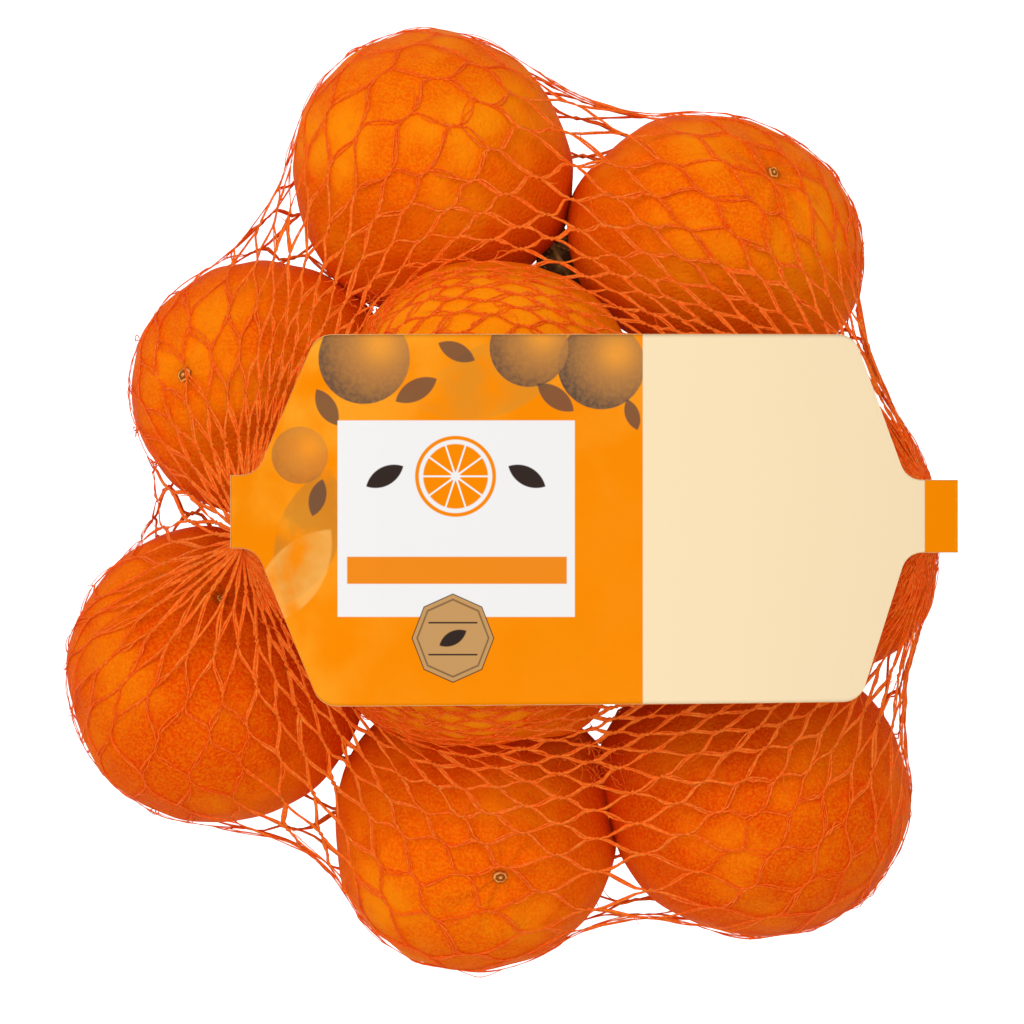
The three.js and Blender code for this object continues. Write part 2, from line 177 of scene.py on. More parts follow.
def arch_height(x):
    """Underside of the label at x: flat over the crown, falling away as a parabola each side."""
    left = np.maximum(0, ARCH["flat_from"] - x) / (ARCH["flat_from"] - LABEL["left"])
    right = np.maximum(0, x - ARCH["flat_to"]) / (LABEL["right"] - ARCH["flat_to"])
    return ARCH["crown"] - ARCH["drop_left"] * left**2 - ARCH["drop_right"] * right**2


# ------------------------------------------------------------------ settings

def colour(name, description, default):
    """A colour setting with red, green and blue from 0 to 1."""
    return FloatVectorProperty(
        name=name, description=description, default=default, subtype="COLOR", min=0, max=1
    )


def length(name, description, default):
    """A length setting, in metres."""
    return FloatProperty(
        name=name, description=description, default=default, min=0, precision=5, unit="LENGTH"
    )


def watts(name, description, default):
    """A light's power setting."""
    return FloatProperty(name=name, description=description, default=default, min=0, unit="POWER")


def whole(name, description, default):
    """A whole number setting."""
    return IntProperty(name=name, description=description, default=default, min=0)


class FruitSettings(bpy.types.PropertyGroup):
    """Sizes and colours of the mandarins and their stem buttons."""

    around: whole("Faces round", "Faces round the stem axis", 192)
    along: whole("Faces along", "Faces from stem end to tip", 120)
    pore: length("Pore", "Distance between oil glands of the peel", 0.00095)
    deep: colour("Deep orange", "Peel of the coolest mandarins", (0.78, 0.064, 0.001))
    warm: colour("Warm orange", "Peel of the ripest mandarins", (0.93, 0.142, 0.001))
    # Glow: yellow of the peel's own patches, also laid in clouds as painted soft highlights.
    glow: colour("Glow", "Yellow patches of the peel", (1.0, 0.272, 0.003))
    # Painted shade on the peel where other mandarins are close.
    shade: colour("Shade", "Peel between pressed mandarins", (0.70, 0.022, 0.001))
    button: colour("Button", "Dry stem button", (1.0, 0.47, 0.12))
    # Button dark: laid in the button's hollows and its darker grain.
    button_dark: colour("Button dark", "Cracks of the stem button", (0.30, 0.075, 0.008))


class NetSettings(bpy.types.PropertyGroup):
    """Mesh, threads and colours of the net."""

    columns: whole("Columns", "Knots round the tube", 70)
    rows: whole("Rows", "Knots from end to end", 26)
    strand: length("Strand", "Longest strand between two knots", 0.0086)
    stitch: length("Stitch", "Length of a knot's double stitch", 0.0015)
    width: length("Filament width", "Width of one flat filament", 0.00027)
    seed: whole("Seed", "Seed of every random draw", 4)
    thread: colour("Thread", "Plastic thread", (0.92, 0.085, 0.003))
    # Gleam: painted highlight on the thread.
    gleam: colour("Gleam", "Stretched and folded stretches of thread", (1.0, 0.27, 0.035))


class LabelSettings(bpy.types.PropertyGroup):
    """Film and print of the band label."""

    film: length("Film", "Thickness of the film", 0.0003)
    orange: colour("Orange", "Main field of the print", (0.93, 0.25, 0.0))
    pale: colour("Pale", "Pale clouds in the main field", (0.98, 0.42, 0.03))
    strip: colour("Strip", "Strip across the panel", (0.86, 0.25, 0.012))
    cream: colour("Cream", "Plain field of the print", (0.93, 0.74, 0.47))
    panel: colour("Panel", "White panel of the print", (0.86, 0.85, 0.84))
    ink: colour("Ink", "Darkest ink", (0.035, 0.022, 0.018))
    kraft: colour("Kraft", "Badge of the print", (0.56, 0.31, 0.115))


class StageSettings(bpy.types.PropertyGroup):
    """Camera, lights and floor."""

    height: length("Camera height", "Height of the camera over the floor", 1.5)
    view: length("View width", "Width of the view at the fruit's middle height", 0.1997)
    key: watts("Key", "Power of the overhead softbox", 20)
    side: watts("Side", "Power of the side softbox", 5)
    front: watts("Front", "Power of the front softbox", 4)
    sky: FloatProperty(name="Sky", description="Strength of the even light all round", default=0.5)


# ------------------------------------------------------------------ meshes

def grid_quads(rows, columns, closed):
    """Quads of a grid of points, rows by columns, joined round the columns where closed."""
    row = np.arange(rows - 1)[:, None] * columns
    column = np.arange(columns if closed else columns - 1)[None, :]
    after = (column + 1) % columns
    corners = [row + column, row + after, row + columns + after, row + columns + column]
    return np.stack(corners, -1).reshape(-1, 4)


def new_piece(name, points, quads, triangles=(), floats=None):
    """An object of quads and triangles through points in millimetres, with one number for each
    point under every name in floats."""
    points = np.asarray(points, float).reshape(-1, 3) * MM
    triangles = np.asarray(triangles, int).reshape(-1, 3)
    mesh = bpy.data.meshes.new(name)
    mesh.vertices.add(len(points))
    mesh.vertices.foreach_set("co", points.ravel())
    corners = np.concatenate([quads.ravel(), triangles.ravel()]).astype(np.int32)
    totals = np.concatenate([np.full(len(quads), 4), np.full(len(triangles), 3)])
    mesh.loops.add(len(corners))
    mesh.loops.foreach_set("vertex_index", corners)
    mesh.polygons.add(len(totals))
    starts = np.concatenate([[0], np.cumsum(totals)[:-1]])
    mesh.polygons.foreach_set("loop_start", starts.astype(np.int32))
    mesh.polygons.foreach_set("loop_total", totals.astype(np.int32))
    mesh.polygons.foreach_set("use_smooth", np.ones(len(totals), bool))
    mesh.update()
    mesh.validate()
    for key, values in (floats or {}).items():
        layer = mesh.attributes.new(key, "FLOAT", "POINT")
        layer.data.foreach_set("value", np.asarray(values, np.float32).ravel())
    piece = bpy.data.objects.new(name, mesh)
    bpy.context.scene.collection.objects.link(piece)
    return piece


def closed_form(name, points, floats=None):
    """A piece closed at both poles: points has rows by columns, and its first and last rows are
    the rings next to the poles, which are put at those rings' middles."""
    rows, columns = points.shape[:2]
    poles = np.stack([points[0].mean(0), points[-1].mean(0)])
    ring = np.arange(columns)
    after = (ring + 1) % columns
    last = (rows - 1) * columns
    count = rows * columns
    fans = np.concatenate([
        np.stack([np.full(columns, count), after, ring], -1),
        np.stack([np.full(columns, count + 1), last + ring, last + after], -1),
    ])
    full = {}
    for key, values in (floats or {}).items():
        flat = np.asarray(values, float).reshape(rows, columns)
        full[key] = np.concatenate([flat.ravel(), [flat[0].mean(), flat[-1].mean()]])
    every = np.concatenate([points.reshape(-1, 3), poles])
    return new_piece(name, every, grid_quads(rows, columns, True), fans, full)


def closed_sheet(name, top, bottom, floats=None):
    """A piece with a top and an underside, each a grid of points, joined by a rim. Also returns
    how many faces the rim has, which come last."""
    rows, columns = top.shape[:2]
    count = rows * columns
    index = np.arange(count).reshape(rows, columns)
    loop = np.concatenate([index[:-1, 0], index[-1, :-1], index[:0:-1, -1], index[0, :0:-1]])
    after = np.roll(loop, -1)
    rim = np.stack([loop, loop + count, after + count, after], -1)
    sheet = grid_quads(rows, columns, False)
    quads = np.concatenate([sheet, sheet[:, ::-1] + count, rim])
    return new_piece(name, np.stack([top, bottom]), quads, floats=floats), len(rim)


def polar_grid(rows, columns):
    """Angles from one pole to the other, none at a pole itself, and angles round it."""
    theta = (np.arange(rows) + 0.5) / rows * np.pi
    phi = np.arange(columns) / columns * TAU
    return np.meshgrid(theta, phi, indexing="ij")


def finish_piece(piece, material, slot, *nodes):
    """Gives a piece its material, and its place in the frame."""
    piece.data.materials.append(material)
    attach(piece, "root")
    if nodes:
        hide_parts(*nodes)
    return piece


def side_axes(axis):
    """Two unit vectors square to an axis and to each other."""
    helper = np.array([1.0, 0.0, 0.0]) if abs(axis[0]) < 0.8 else np.array([0.0, 1.0, 0.0])
    first = unit(np.cross(axis, helper))
    return first, np.cross(axis, first)


# ------------------------------------------------------------------ materials

class Shader:
    """Short calls that build one material's nodes. Inputs are numbers, colours or sockets."""

    def __init__(self, name, roughness):
        self.material = bpy.data.materials.new(name)
        self.material.use_nodes = True
        self.tree = self.material.node_tree
        self.surface = self.tree.nodes["Principled BSDF"]
        self.surface.inputs["Roughness"].default_value = roughness
        place = self.tree.nodes.new("ShaderNodeTexCoord").outputs["Object"]
        self.place = self.vector("SCALE", place, 1 / MM)

    def put(self, socket, value):
        """Links a socket, or sets a number or colour."""
        if isinstance(value, bpy.types.NodeSocket):
            self.tree.links.new(value, socket)
        elif isinstance(value, (int, float)):
            socket.default_value = value
        else:
            values = tuple(value)
            socket.default_value = values + (1.0,) * (len(socket.default_value) - len(values))

    def math(self, operation, a, b=0.0, c=0.0, clamp=False):
        """The named operation on up to three numbers, kept from 0 to 1 if clamped."""
        node = self.tree.nodes.new("ShaderNodeMath")
        node.operation = operation
        node.use_clamp = clamp
        for socket, value in zip(node.inputs, (a, b, c)):
            self.put(socket, value)
        return node.outputs[0]

    def vector(self, operation, a, b):
        """The named operation on two vectors, or on a vector and a scale."""
        node = self.tree.nodes.new("ShaderNodeVectorMath")
        node.operation = operation
        self.put(node.inputs[0], a)
        if operation == "SCALE":
            self.put(node.inputs["Scale"], b)
        else:
            self.put(node.inputs[1], b)
        return node.outputs["Value" if operation in ("LENGTH", "DISTANCE") else "Vector"]

    def step(self, value, low, high):
        """0 below low, 1 above high, a smooth ramp between; low may be the greater one."""
        node = self.tree.nodes.new("ShaderNodeMapRange")
        node.interpolation_type = "SMOOTHSTEP"
        self.put(node.inputs["Value"], value)
        self.put(node.inputs["From Min"], low)
        self.put(node.inputs["From Max"], high)
        return node.outputs["Result"]

    def mix(self, factor, low, high):
        """Low where the factor is 0 and high where it is 1."""
        node = self.tree.nodes.new("ShaderNodeMix")
        node.data_type = "RGBA"
        self.put(node.inputs["Factor"], factor)
        self.put(node.inputs[6], low)
        self.put(node.inputs[7], high)
        return node.outputs[2]

    def times(self, a, b, clamp=False):
        """The product of two numbers."""
        return self.math("MULTIPLY", a, b, clamp=clamp)

    def over(self, factor, share, base, colour):
        """The base, covered by the colour as far as a share of the factor says."""
        return self.mix(self.times(factor, share), base, colour)

    def noise(self, size, detail=2.0, roughness=0.5):
        """Noise from 0 to 1 with patches of about size millimetres."""
        node = self.tree.nodes.new("ShaderNodeTexNoise")
        self.put(node.inputs["Vector"], self.place)
        self.put(node.inputs["Scale"], 1 / size)
        self.put(node.inputs["Detail"], detail)
        self.put(node.inputs["Roughness"], roughness)
        return node.outputs["Fac"]

    def cells(self, size, smooth):
        """Smoothed distance to the nearest of points scattered size millimetres apart."""
        node = self.tree.nodes.new("ShaderNodeTexVoronoi")
        node.feature = "SMOOTH_F1"
        self.put(node.inputs["Vector"], self.place)
        self.put(node.inputs["Scale"], 1 / size)
        self.put(node.inputs["Smoothness"], smooth)
        return node.outputs["Distance"]

    def attribute(self, name):
        """The number that a mesh carries under a name."""
        node = self.tree.nodes.new("ShaderNodeAttribute")
        node.attribute_name = name
        return node.outputs["Fac"]

    def bump(self, height, distance, strength=1.0):
        """Bump of a height from 0 to 1 over a distance in millimetres."""
        node = self.tree.nodes.new("ShaderNodeBump")
        self.put(node.inputs["Height"], height)
        self.put(node.inputs["Distance"], distance * MM)
        self.put(node.inputs["Strength"], strength)
        self.put(self.surface.inputs["Normal"], node.outputs["Normal"])

    def fill(self, **inputs):
        """Sets inputs of the surface by name, with _ for a space."""
        for name, value in inputs.items():
            self.put(self.surface.inputs[name.replace("_", " ")], value)
        return self.material


# Tones of the peel: bright oil glands, painted shade on its steep sides and in the deepest
# crevices, and the halo and the dark ring round the stem button.
GLAND_TONE = (1.0, 0.36, 0.008)
STEEP_SIDE_SHADE = (0.87, 0.07, 0.001)
CREVICE_SHADE = (0.11, 0.006, 0.001)
STEM_HALO_TONE = (0.5, 0.09, 0.003)
STEM_RING_TONE = (0.2, 0.03, 0.003)


def peel_material(s):
    """Waxy peel: orange of each fruit's own warmth, yellow clouds that are partly its own patches
    and partly painted soft highlights, a fine grain of oil glands, painted shade on steep sides
    and between pressed fruit, darkest in the crevices, and a brown ring round the button."""
    m = Shader("mandarin_peel", 0.4)
    warmth, stem, shelter = (m.attribute(name) for name in ("warmth", "stem", "sheltered"))
    # Yellow clouds: partly the peel's own patches, partly painted soft highlights.
    clouds = m.step(m.noise(17, 3), 0.42, 0.66)
    base = m.mix(warmth, s.deep, s.warm)
    base = m.mix(m.math("SUBTRACT", warmth, 1.0, clamp=True), base, s.glow)
    base = m.over(clouds, m.math("MULTIPLY_ADD", warmth, 0.6, 0.4), base, s.glow)
    glands = m.cells(s.pore / MM, 0.35)
    patches = m.step(m.noise(1.6, 2), 0.35, 0.7)
    grain = m.times(m.step(glands, 0.5, 0.15), m.math("MULTIPLY_ADD", patches, 0.5, 0.5))
    base = m.over(grain, 0.16, base, GLAND_TONE)
    speck = m.step(m.noise(0.55, 2, roughness=0.65), 0.4, 0.6)
    base = m.over(speck, m.math("MULTIPLY_ADD", warmth, 0.16, 0.34), base, s.glow)
    base = m.over(m.step(m.noise(3.2, 3), 0.5, 0.75), 0.22, base, s.deep)
    # Painted shade: deep red where other mandarins are close, for the shade between them.
    base = m.over(shelter, 0.64, base, s.shade)
    # Painted shade: redder on the steep sides that turn away from the light.
    base = m.over(m.attribute("steep"), 0.4, base, STEEP_SIDE_SHADE)
    # Painted shade: near black in the deepest crevices between fruit.
    base = m.over(m.step(shelter, 0.62, 1.4), 0.92, base, CREVICE_SHADE)
    base = m.over(m.step(stem, 0.19, 0.08), 0.2, base, STEM_HALO_TONE)
    base = m.over(m.step(stem, 0.085, 0.055), 0.45, base, STEM_RING_TONE)
    m.bump(m.math("ADD", m.step(glands, 0.0, 0.55), m.times(m.noise(2.4, 2), 0.8)), 0.16, 0.8)
    return m.fill(
        Base_Color=base, Roughness=m.math("MULTIPLY_ADD", m.noise(6, 3), 0.16, 0.34),
        Subsurface_Weight=0.12, Subsurface_Radius=(1.0, 0.35, 0.08), Subsurface_Scale=0.0015,
        Specular_IOR_Level=0.008, Specular_Tint=(1.0, 0.5, 0.08),
    )


def button_material(s):
    """Dry, woody stem button: pale on its raised rim and scar where its grain is light, dark in
    its hollows and in its darker grain.
    """
    m = Shader("stem_button", 0.75)
    raised = m.attribute("raised")
    grain = m.noise(0.35, 4)
    tone = m.times(m.step(raised, 0.2, 0.6), m.step(grain, 0.25, 0.5))
    m.bump(grain, 0.15)
    return m.fill(Base_Color=m.mix(tone, s.button_dark, s.button), Specular_IOR_Level=0.02)


BEAD_PITCH = 1.4  # millimetres between the painted highlights along a thread


def net_material(s):
    """Stretched plastic thread: orange red, with pale gleams, which are painted highlights: beads
    along it, flecks, and more where it is drawn thin, hangs free or is folded. A faint painted
    glow stands for the light that clear plastic carries along."""
    m = Shader("net_plastic", 0.34)
    highlight_share = m.attribute("highlight_share")
    turns = m.math("ADD", m.attribute("travel"), m.times(m.noise(5, 1), 4.0))
    # Beads of painted highlight along the thread.
    bead = m.step(m.math("SINE", m.times(turns, TAU / BEAD_PITCH)), 0.1, 0.95)
    fleck = m.step(m.noise(1.1, 2), 0.45, 0.7)
    gleam = m.times(m.math("ADD", m.math("ADD", fleck, highlight_share), bead), 0.28, clamp=True)
    return m.fill(
        Base_Color=m.mix(gleam, s.thread, s.gleam), Specular_IOR_Level=0.015,
        Specular_Tint=(1.0, 0.6, 0.25), Emission_Color=(1.0, 0.15, 0.012), Emission_Strength=0.05,
    )


# ------------------------------------------------------------------ mandarins

def fine_relief(index, directions):
    """Millimetres of slow unevenness: fourteen cosine waves across the fruit in seeded
    directions, finer ones lower."""
    draw = np.random.default_rng(100 + index)
    waves = unit(draw.normal(size=(14, 3)))
    pitch = draw.uniform(7, 24, 14)
    phase = draw.uniform(0, TAU, 14)
    crests = np.cos((directions @ waves.T) * pitch + phase)
    return (crests * (0.9 / pitch)).sum(-1)


SHELTER_REACH = 5.5


def sheltered(index, points):
    """How close each point of a mandarin is to the other ones: a sum over them that falls
    exponentially with the gap, by a factor of e for each shelter reach. It sets where painted
    shade goes on the peel."""
    total = np.zeros(points.shape[:-1])
    for other in range(len(MANDARINS)):
        if other != index:
            arms = points - CENTRES[other]
            distance = np.linalg.norm(arms, axis=-1)
            ray = own_axes(other, arms / distance[..., None])
            gap = distance - 1 / np.linalg.norm(ray, axis=-1)
            total += np.exp(-np.maximum(gap, 0) / SHELTER_REACH)
    return total


def mandarin(index, s):
    """A mandarin on a grid of angles from and round its stem axis: the peel radius, the fine
    relief, and low ribs that run out of the stem hollow, flattened at the floor."""
    theta, phi = polar_grid(s.along + 1, s.around)
    first, second = side_axes(STEM[index])
    directions = (
        np.cos(theta)[..., None] * STEM[index]
        + (np.sin(theta) * np.cos(phi))[..., None] * first
        + (np.sin(theta) * np.sin(phi))[..., None] * second
    )
    ribs = np.cos(phi * 9 + 2 * np.cos(phi + index)) * np.exp(-(((theta - 0.32) / 0.22) ** 2))
    radius = peel_radius(index, directions) + fine_relief(index, directions) + 0.28 * ribs
    points = CENTRES[index] + directions * radius[..., None]
    points[..., 2] = np.maximum(points[..., 2], BARE_FLAT)
    warmth = np.full(theta.shape, MANDARINS[index][5])
    # Steepness of the peel, which sets the painted shade on its sides.
    slope = unit((points - CENTRES[index]) / HALF[index] ** 2)[..., 2]
    steep = np.clip(1 - slope / 0.8, 0, 1)
    floats = {
        "stem": theta, "warmth": warmth, "sheltered": sheltered(index, points), "steep": steep
    }
    return closed_form("mandarin_%d" % (index + 1), points, floats)


# Radius of each mandarin's stem button in millimetres, and the share by which its lobes are cut.
BUTTONS = (
    (1.7, 0.3), (1.3, 0.34), (1.65, 0.22), (0.9, 0.3), (1.4, 0.06),
    (1.6, 0.3), (1.5, 0.3), (1.6, 0.35), (1.5, 0.25),
)


def stem_button(index):
    """Points and heights of a five-lobed button: radius falls between the lobes, and height is
    a raised rim and a raised scar with a groove between, on a base that turns into the peel."""
    size, cut = BUTTONS[index]
    rows, columns = 24, 72
    draw = np.random.default_rng(200 + index)
    out = (np.arange(rows) + 0.5) / rows
    phi = np.arange(columns) / columns * TAU
    out, phi = np.meshgrid(out, phi, indexing="ij")
    lobes = np.abs(np.cos(2.5 * (phi + 0.2 * np.sin(phi + index)))) ** 0.6
    uneven = 1 + 0.12 * np.cos(phi * 2 + draw.uniform(0, TAU)) + 0.05 * np.cos(phi * 7)
    reach = size * (1 - cut * (1 - lobes) * out) * uneven * out
    rim = np.exp(-(((out - 0.76) / 0.13) ** 2)) * (0.8 + 0.2 * np.cos(3 * phi + index))
    scar = np.exp(-((out / 0.26) ** 2))
    height = 0.3 + 0.3 * rim + 0.22 * scar - 0.9 * out**5
    first, second = side_axes(STEM[index])
    base = CENTRES[index] + STEM[index] * (peel_radius(index, STEM[index]) + 0.1)
    points = (
        base
        + (reach * np.cos(phi))[..., None] * first
        + (reach * np.sin(phi))[..., None] * second
        + height[..., None] * STEM[index]
    )
    raised = np.clip(rim + 0.8 * scar, 0, 1) * (1 - np.clip((out - 0.9) / 0.1, 0, 1))
    return points, raised


def stem_buttons():
    """Every stem button as one piece: a star-shaped sheet with a point in its middle and its
    rim turned into the peel."""
    made = [stem_button(index) for index in range(len(MANDARINS))]
    rows, columns = made[0][0].shape[:2]
    count = rows * columns
    ring = np.arange(columns)
    fan = np.stack([np.full(columns, count), ring, (ring + 1) % columns], -1)
    back = np.stack([np.full(columns, count + 1), count - columns + (ring + 1) % columns,
                     count - columns + ring], -1)
    points, raised, quads, fans = [], [], [], []
    for index, (form, height) in enumerate(made):
        start = index * (count + 2)
        root = CENTRES[index] + STEM[index] * (peel_radius(index, STEM[index]) - 2)
        points += [form.reshape(-1, 3), form[0].mean(0)[None], root[None]]
        raised += [height.ravel(), [0.2, 0.2]]
        quads.append(grid_quads(rows, columns, True)[:, ::-1] + start)
        fans += [fan + start, back + start]
    return new_piece(
        "stem_buttons", np.concatenate(points), np.concatenate(quads), np.concatenate(fans),
        {"raised": np.concatenate(raised)},
    )


def dry_leaf_and_gap_shade():
    """A curled dry leaf as a closed sheet, dark, which also covers a deep gap as painted shade:
    its half width falls as the root of one less the square of the place along it, its sides curl
    up and its length bends down."""
    rows, columns = 40, 18
    u, v = np.meshgrid(np.linspace(-1, 1, rows), np.linspace(-1, 1, columns), indexing="ij")
    width = 4.4 * np.sqrt(np.maximum(1 - u * u, 0.004)) * (1 + 0.12 * np.cos(9 * u))
    x, y = 8.2 * u, width * v
    z = 1.6 * v * v - 1.4 * u * u + 0.5 * np.cos(5 * u + 3 * v) + 0.3 * np.cos(11 * v - 4 * u)
    turn = np.radians(LEAF_AND_GAP_SHADE_TURN)
    plan = [x * np.cos(turn) - y * np.sin(turn), x * np.sin(turn) + y * np.cos(turn)]
    top = LEAF_AND_GAP_SHADE + np.stack([*plan, z], -1)
    vein = np.abs(np.sin(6 * u - 5 * np.abs(v))) * (1 - np.exp(-((v / 0.12) ** 2)))
    floats = {"raised": np.stack([vein, vein])}
    return closed_sheet("dry_leaf_and_gap_shade", top, top - UP * LEAF_AND_GAP_SHADE_THICKNESS, floats)[0]


def leaf_and_gap_shade_material():
    """Dry leaf: dark brown with olive patches and paler veins; its darkness is partly painted
    shade for the deep gap that it covers.
    """
    m = Shader("dry_leaf_and_gap_shade", 0.8)
    patches = m.step(m.noise(2.2, 3), 0.4, 0.65)
    base = m.mix(patches, (0.045, 0.018, 0.006), (0.11, 0.062, 0.014))
    base = m.mix(m.step(m.attribute("raised"), 0.3, 0.05), base, (0.30, 0.15, 0.04))
    m.bump(m.noise(0.5, 3), 0.2)
    return m.fill(Base_Color=base, Specular_IOR_Level=0.1)


# ------------------------------------------------------------------ net

KNOT_LIFT = 0.3  # of the knots over the peel, in millimetres
THREAD_LIFT = 0.2  # of the threads' middle lines
FRICTION = 0.6  # share of a press that holds a knot on the peel
LIGHT_PULL = 0.4  # tension of strands that aren't stretched
EVEN_OUT_STEPS = 300
TIGHTEN_STEPS = 1200
STITCH_STEPS = 2  # points of a thread along a knot's stitch
STRAND_STEPS = 7


def two_pole_start(along, around):
    """Point of the start egg's surface: on the unit sphere, the circle through both gathers'
    directions in the plane turned by around, at the share along of the arc between them."""
    left = unit((GATHER_LEFT - HEART) / START_EGG)
    right = unit((GATHER_RIGHT - HEART) / START_EGG)
    middle, chord = (left + right) / 2, (right - left) / 2
    ahead = unit(chord)
    upward = unit(UP - ahead * (UP @ ahead))
    sideways = np.cross(upward, ahead)
    bulge = np.cos(around)[..., None] * sideways + np.sin(around)[..., None] * upward
    off = -(bulge @ middle)
    radius = np.sqrt(chord @ chord + off * off)
    turn = np.pi * (1 - along) + np.arcsin(off / radius) * (1 - 2 * along)
    arm = np.cos(turn)[..., None] * ahead + np.sin(turn)[..., None] * bulge
    return HEART + START_EGG * (middle + off[..., None] * bulge + radius[..., None] * arm)


def hull_planes(count):
    """Directions and distances of planes that touch the outside of all the fruit."""
    normals = spread_directions(count)
    reach = [
        (CENTRES[i] - HEART) @ normals.T + np.linalg.norm(HALF[i] * normals, axis=-1) + 0.5
        for i in range(len(MANDARINS))
    ]
    reach += [(end - HEART) @ normals.T + 1 for end in (GATHER_LEFT, GATHER_RIGHT)]
    return normals, np.max(reach, axis=0)


def onto_hull(points, planes):
    """Points moved along the line from the pack's middle to the nearest touching plane."""
    normals, reach = planes
    directions = unit(points - HEART)
    facing = directions @ normals.T
    distance = np.where(facing > 0.05, reach / np.maximum(facing, 0.05), 1e9).min(-1)
    return HEART + directions * distance[..., None]


def net_knots(s):
    """Start of the net: every knot is a short stitch from an inner to an outer end, and the
    first and last rows lie on small rings in the gathered ends. Also returns the strands and
    stitches as pairs of points with their lengths, and which points are fixed."""
    draw = np.random.default_rng(s.seed)
    rows, columns = s.rows, s.columns
    row, column = np.arange(rows)[:, None], np.arange(columns)[None, :]
    around = TAU * (column + 0.5 * (row % 2)) / columns
    planes = hull_planes(3000)
    ends = []
    for shift in (0, 0.3):
        along = np.clip((row + shift) / (rows - 1), 0, 1) + 0 * column
        points = onto_hull(two_pole_start(along, around), planes)
        for k, gather in ((0, GATHER_LEFT), (-1, GATHER_RIGHT)):
            ring = [0 * around[k], 2.2 * np.cos(around[k]), 1.6 * np.sin(around[k])]
            points[k] = gather + np.stack(ring, -1)
        ends.append(points)
    count = rows * columns
    knot = np.arange(count).reshape(rows, columns)
    leave = count + knot[:-1]
    east = knot[1:][row[:-1], (column + row[:-1] % 2) % columns]
    west = knot[1:][row[:-1], (column - 1 + row[:-1] % 2) % columns]
    strands = np.concatenate([np.stack([leave, side], -1).reshape(-1, 2) for side in (east, west)])
    stitches = np.stack([knot.ravel(), count + knot.ravel()], -1)
    near_end = np.minimum(row[:-1], rows - 2 - row[:-1]) + 0 * column
    longer = 1 + 1.1 * np.exp(-((near_end / 2.2) ** 2)).ravel()
    longer *= (1 + 0.25 * np.cos(0.8 * row[:-1] + 2.2 * np.cos(0.31 * column))).ravel()
    lengths = s.strand / MM * np.tile(longer, 2) * (1 + 0.55 * draw.uniform(-1, 1, len(strands)))
    lengths = np.concatenate([lengths, np.full(count, s.stitch / MM)])
    fixed = np.zeros((2, rows, columns), bool)
    fixed[:, [0, -1]] = True
    points = np.stack(ends).reshape(-1, 3)
    return points, np.concatenate([strands, stitches]), lengths, fixed.ravel()


def neighbour_table(count, pairs, lengths):
    """For each point its neighbours and the lengths to them, padded with the point itself."""
    both = np.concatenate([pairs, pairs[:, ::-1]])
    order = np.argsort(both[:, 0], kind="stable")
    both, rests = both[order], np.concatenate([lengths, lengths])[order]
    ties = np.bincount(both[:, 0], minlength=count)
    place = np.arange(len(both)) - np.searchsorted(both[:, 0], np.arange(count))[both[:, 0]]
    neighbours = np.tile(np.arange(count)[:, None], (1, ties.max()))
    spans = np.zeros(neighbours.shape)
    neighbours[both[:, 0], place] = both[:, 1]
    spans[both[:, 0], place] = rests
    return neighbours, spans, ties


def even_out(points, table, fixed, steps):
    """Slides the net over the hull until its strands are near their lengths."""
    neighbours, spans, ties = table
    planes = hull_planes(500)
    share = (0.65 / ties * ~fixed)[:, None]
    for step in range(steps):
        arms = points[neighbours] - points[:, None]
        size = np.linalg.norm(arms, axis=-1) + 1e-9
        pull = 1 - spans / size
        pull = np.where(spans > 0, np.where(pull < 0, 0.25 * np.maximum(pull, -1), pull), 0)
        points = points + (arms * pull[..., None]).sum(1) * share
        if step % 2 == 0 or step == steps - 1:
            points[~fixed] = onto_hull(points, planes)[~fixed]
    return points


def settle(points, fixed):
    """Lowers the net onto the fruit that faces it, along the lines to the pack's middle."""
    arms = points - HEART
    distance = np.linalg.norm(arms, axis=-1)
    directions = arms / distance[:, None]
    far = np.zeros(len(points))
    for i in range(len(MANDARINS)):
        start, ray = own_axes(i, HEART - CENTRES[i]), own_axes(i, directions)
        a, b, c = (ray * ray).sum(-1), ray @ start, start @ start - 1
        inside = b * b - a * c
        hit = (-b + np.sqrt(np.maximum(inside, 0))) / a
        far = np.maximum(far, np.where(inside > 0, hit, 0))
    lowered = np.where(far > distance - 14, np.minimum(far + KNOT_LIFT, distance), distance)
    return np.where(fixed[:, None], points, HEART + directions * lowered[:, None])


def press_out(points, lift, before=None, friction=0.0):
    """Moves points out of every peel to the lift over it, in place, and takes back as much of
    their sideways travel as friction holds."""
    for i in range(len(MANDARINS)):
        arms = points - CENTRES[i]
        distance = np.linalg.norm(arms, axis=-1)
        near = np.flatnonzero(distance < HALF[i].max() + 2)
        out = arms[near] / distance[near][:, None]
        push = peel_radius(i, out) + lift - distance[near]
        hit = push > 0
        near, out, push = near[hit], out[hit], push[hit]
        points[near] += out * push[:, None]
        if friction:
            slide = points[near] - before[near]
            slide -= out * (slide * out).sum(-1, keepdims=True)
            travel = np.linalg.norm(slide, axis=-1) + 1e-12
            points[near] -= slide * np.minimum(1, friction * push / travel)[:, None]


def stay_out(points):
    """Moves points out of the posts in plan, in place."""
    for x, y, radius in POSTS:
        arms = points[:, :2] - (x, y)
        distance = np.linalg.norm(arms, axis=-1)
        inside = distance < radius
        points[inside, :2] += arms[inside] * (radius / distance[inside] - 1)[:, None]


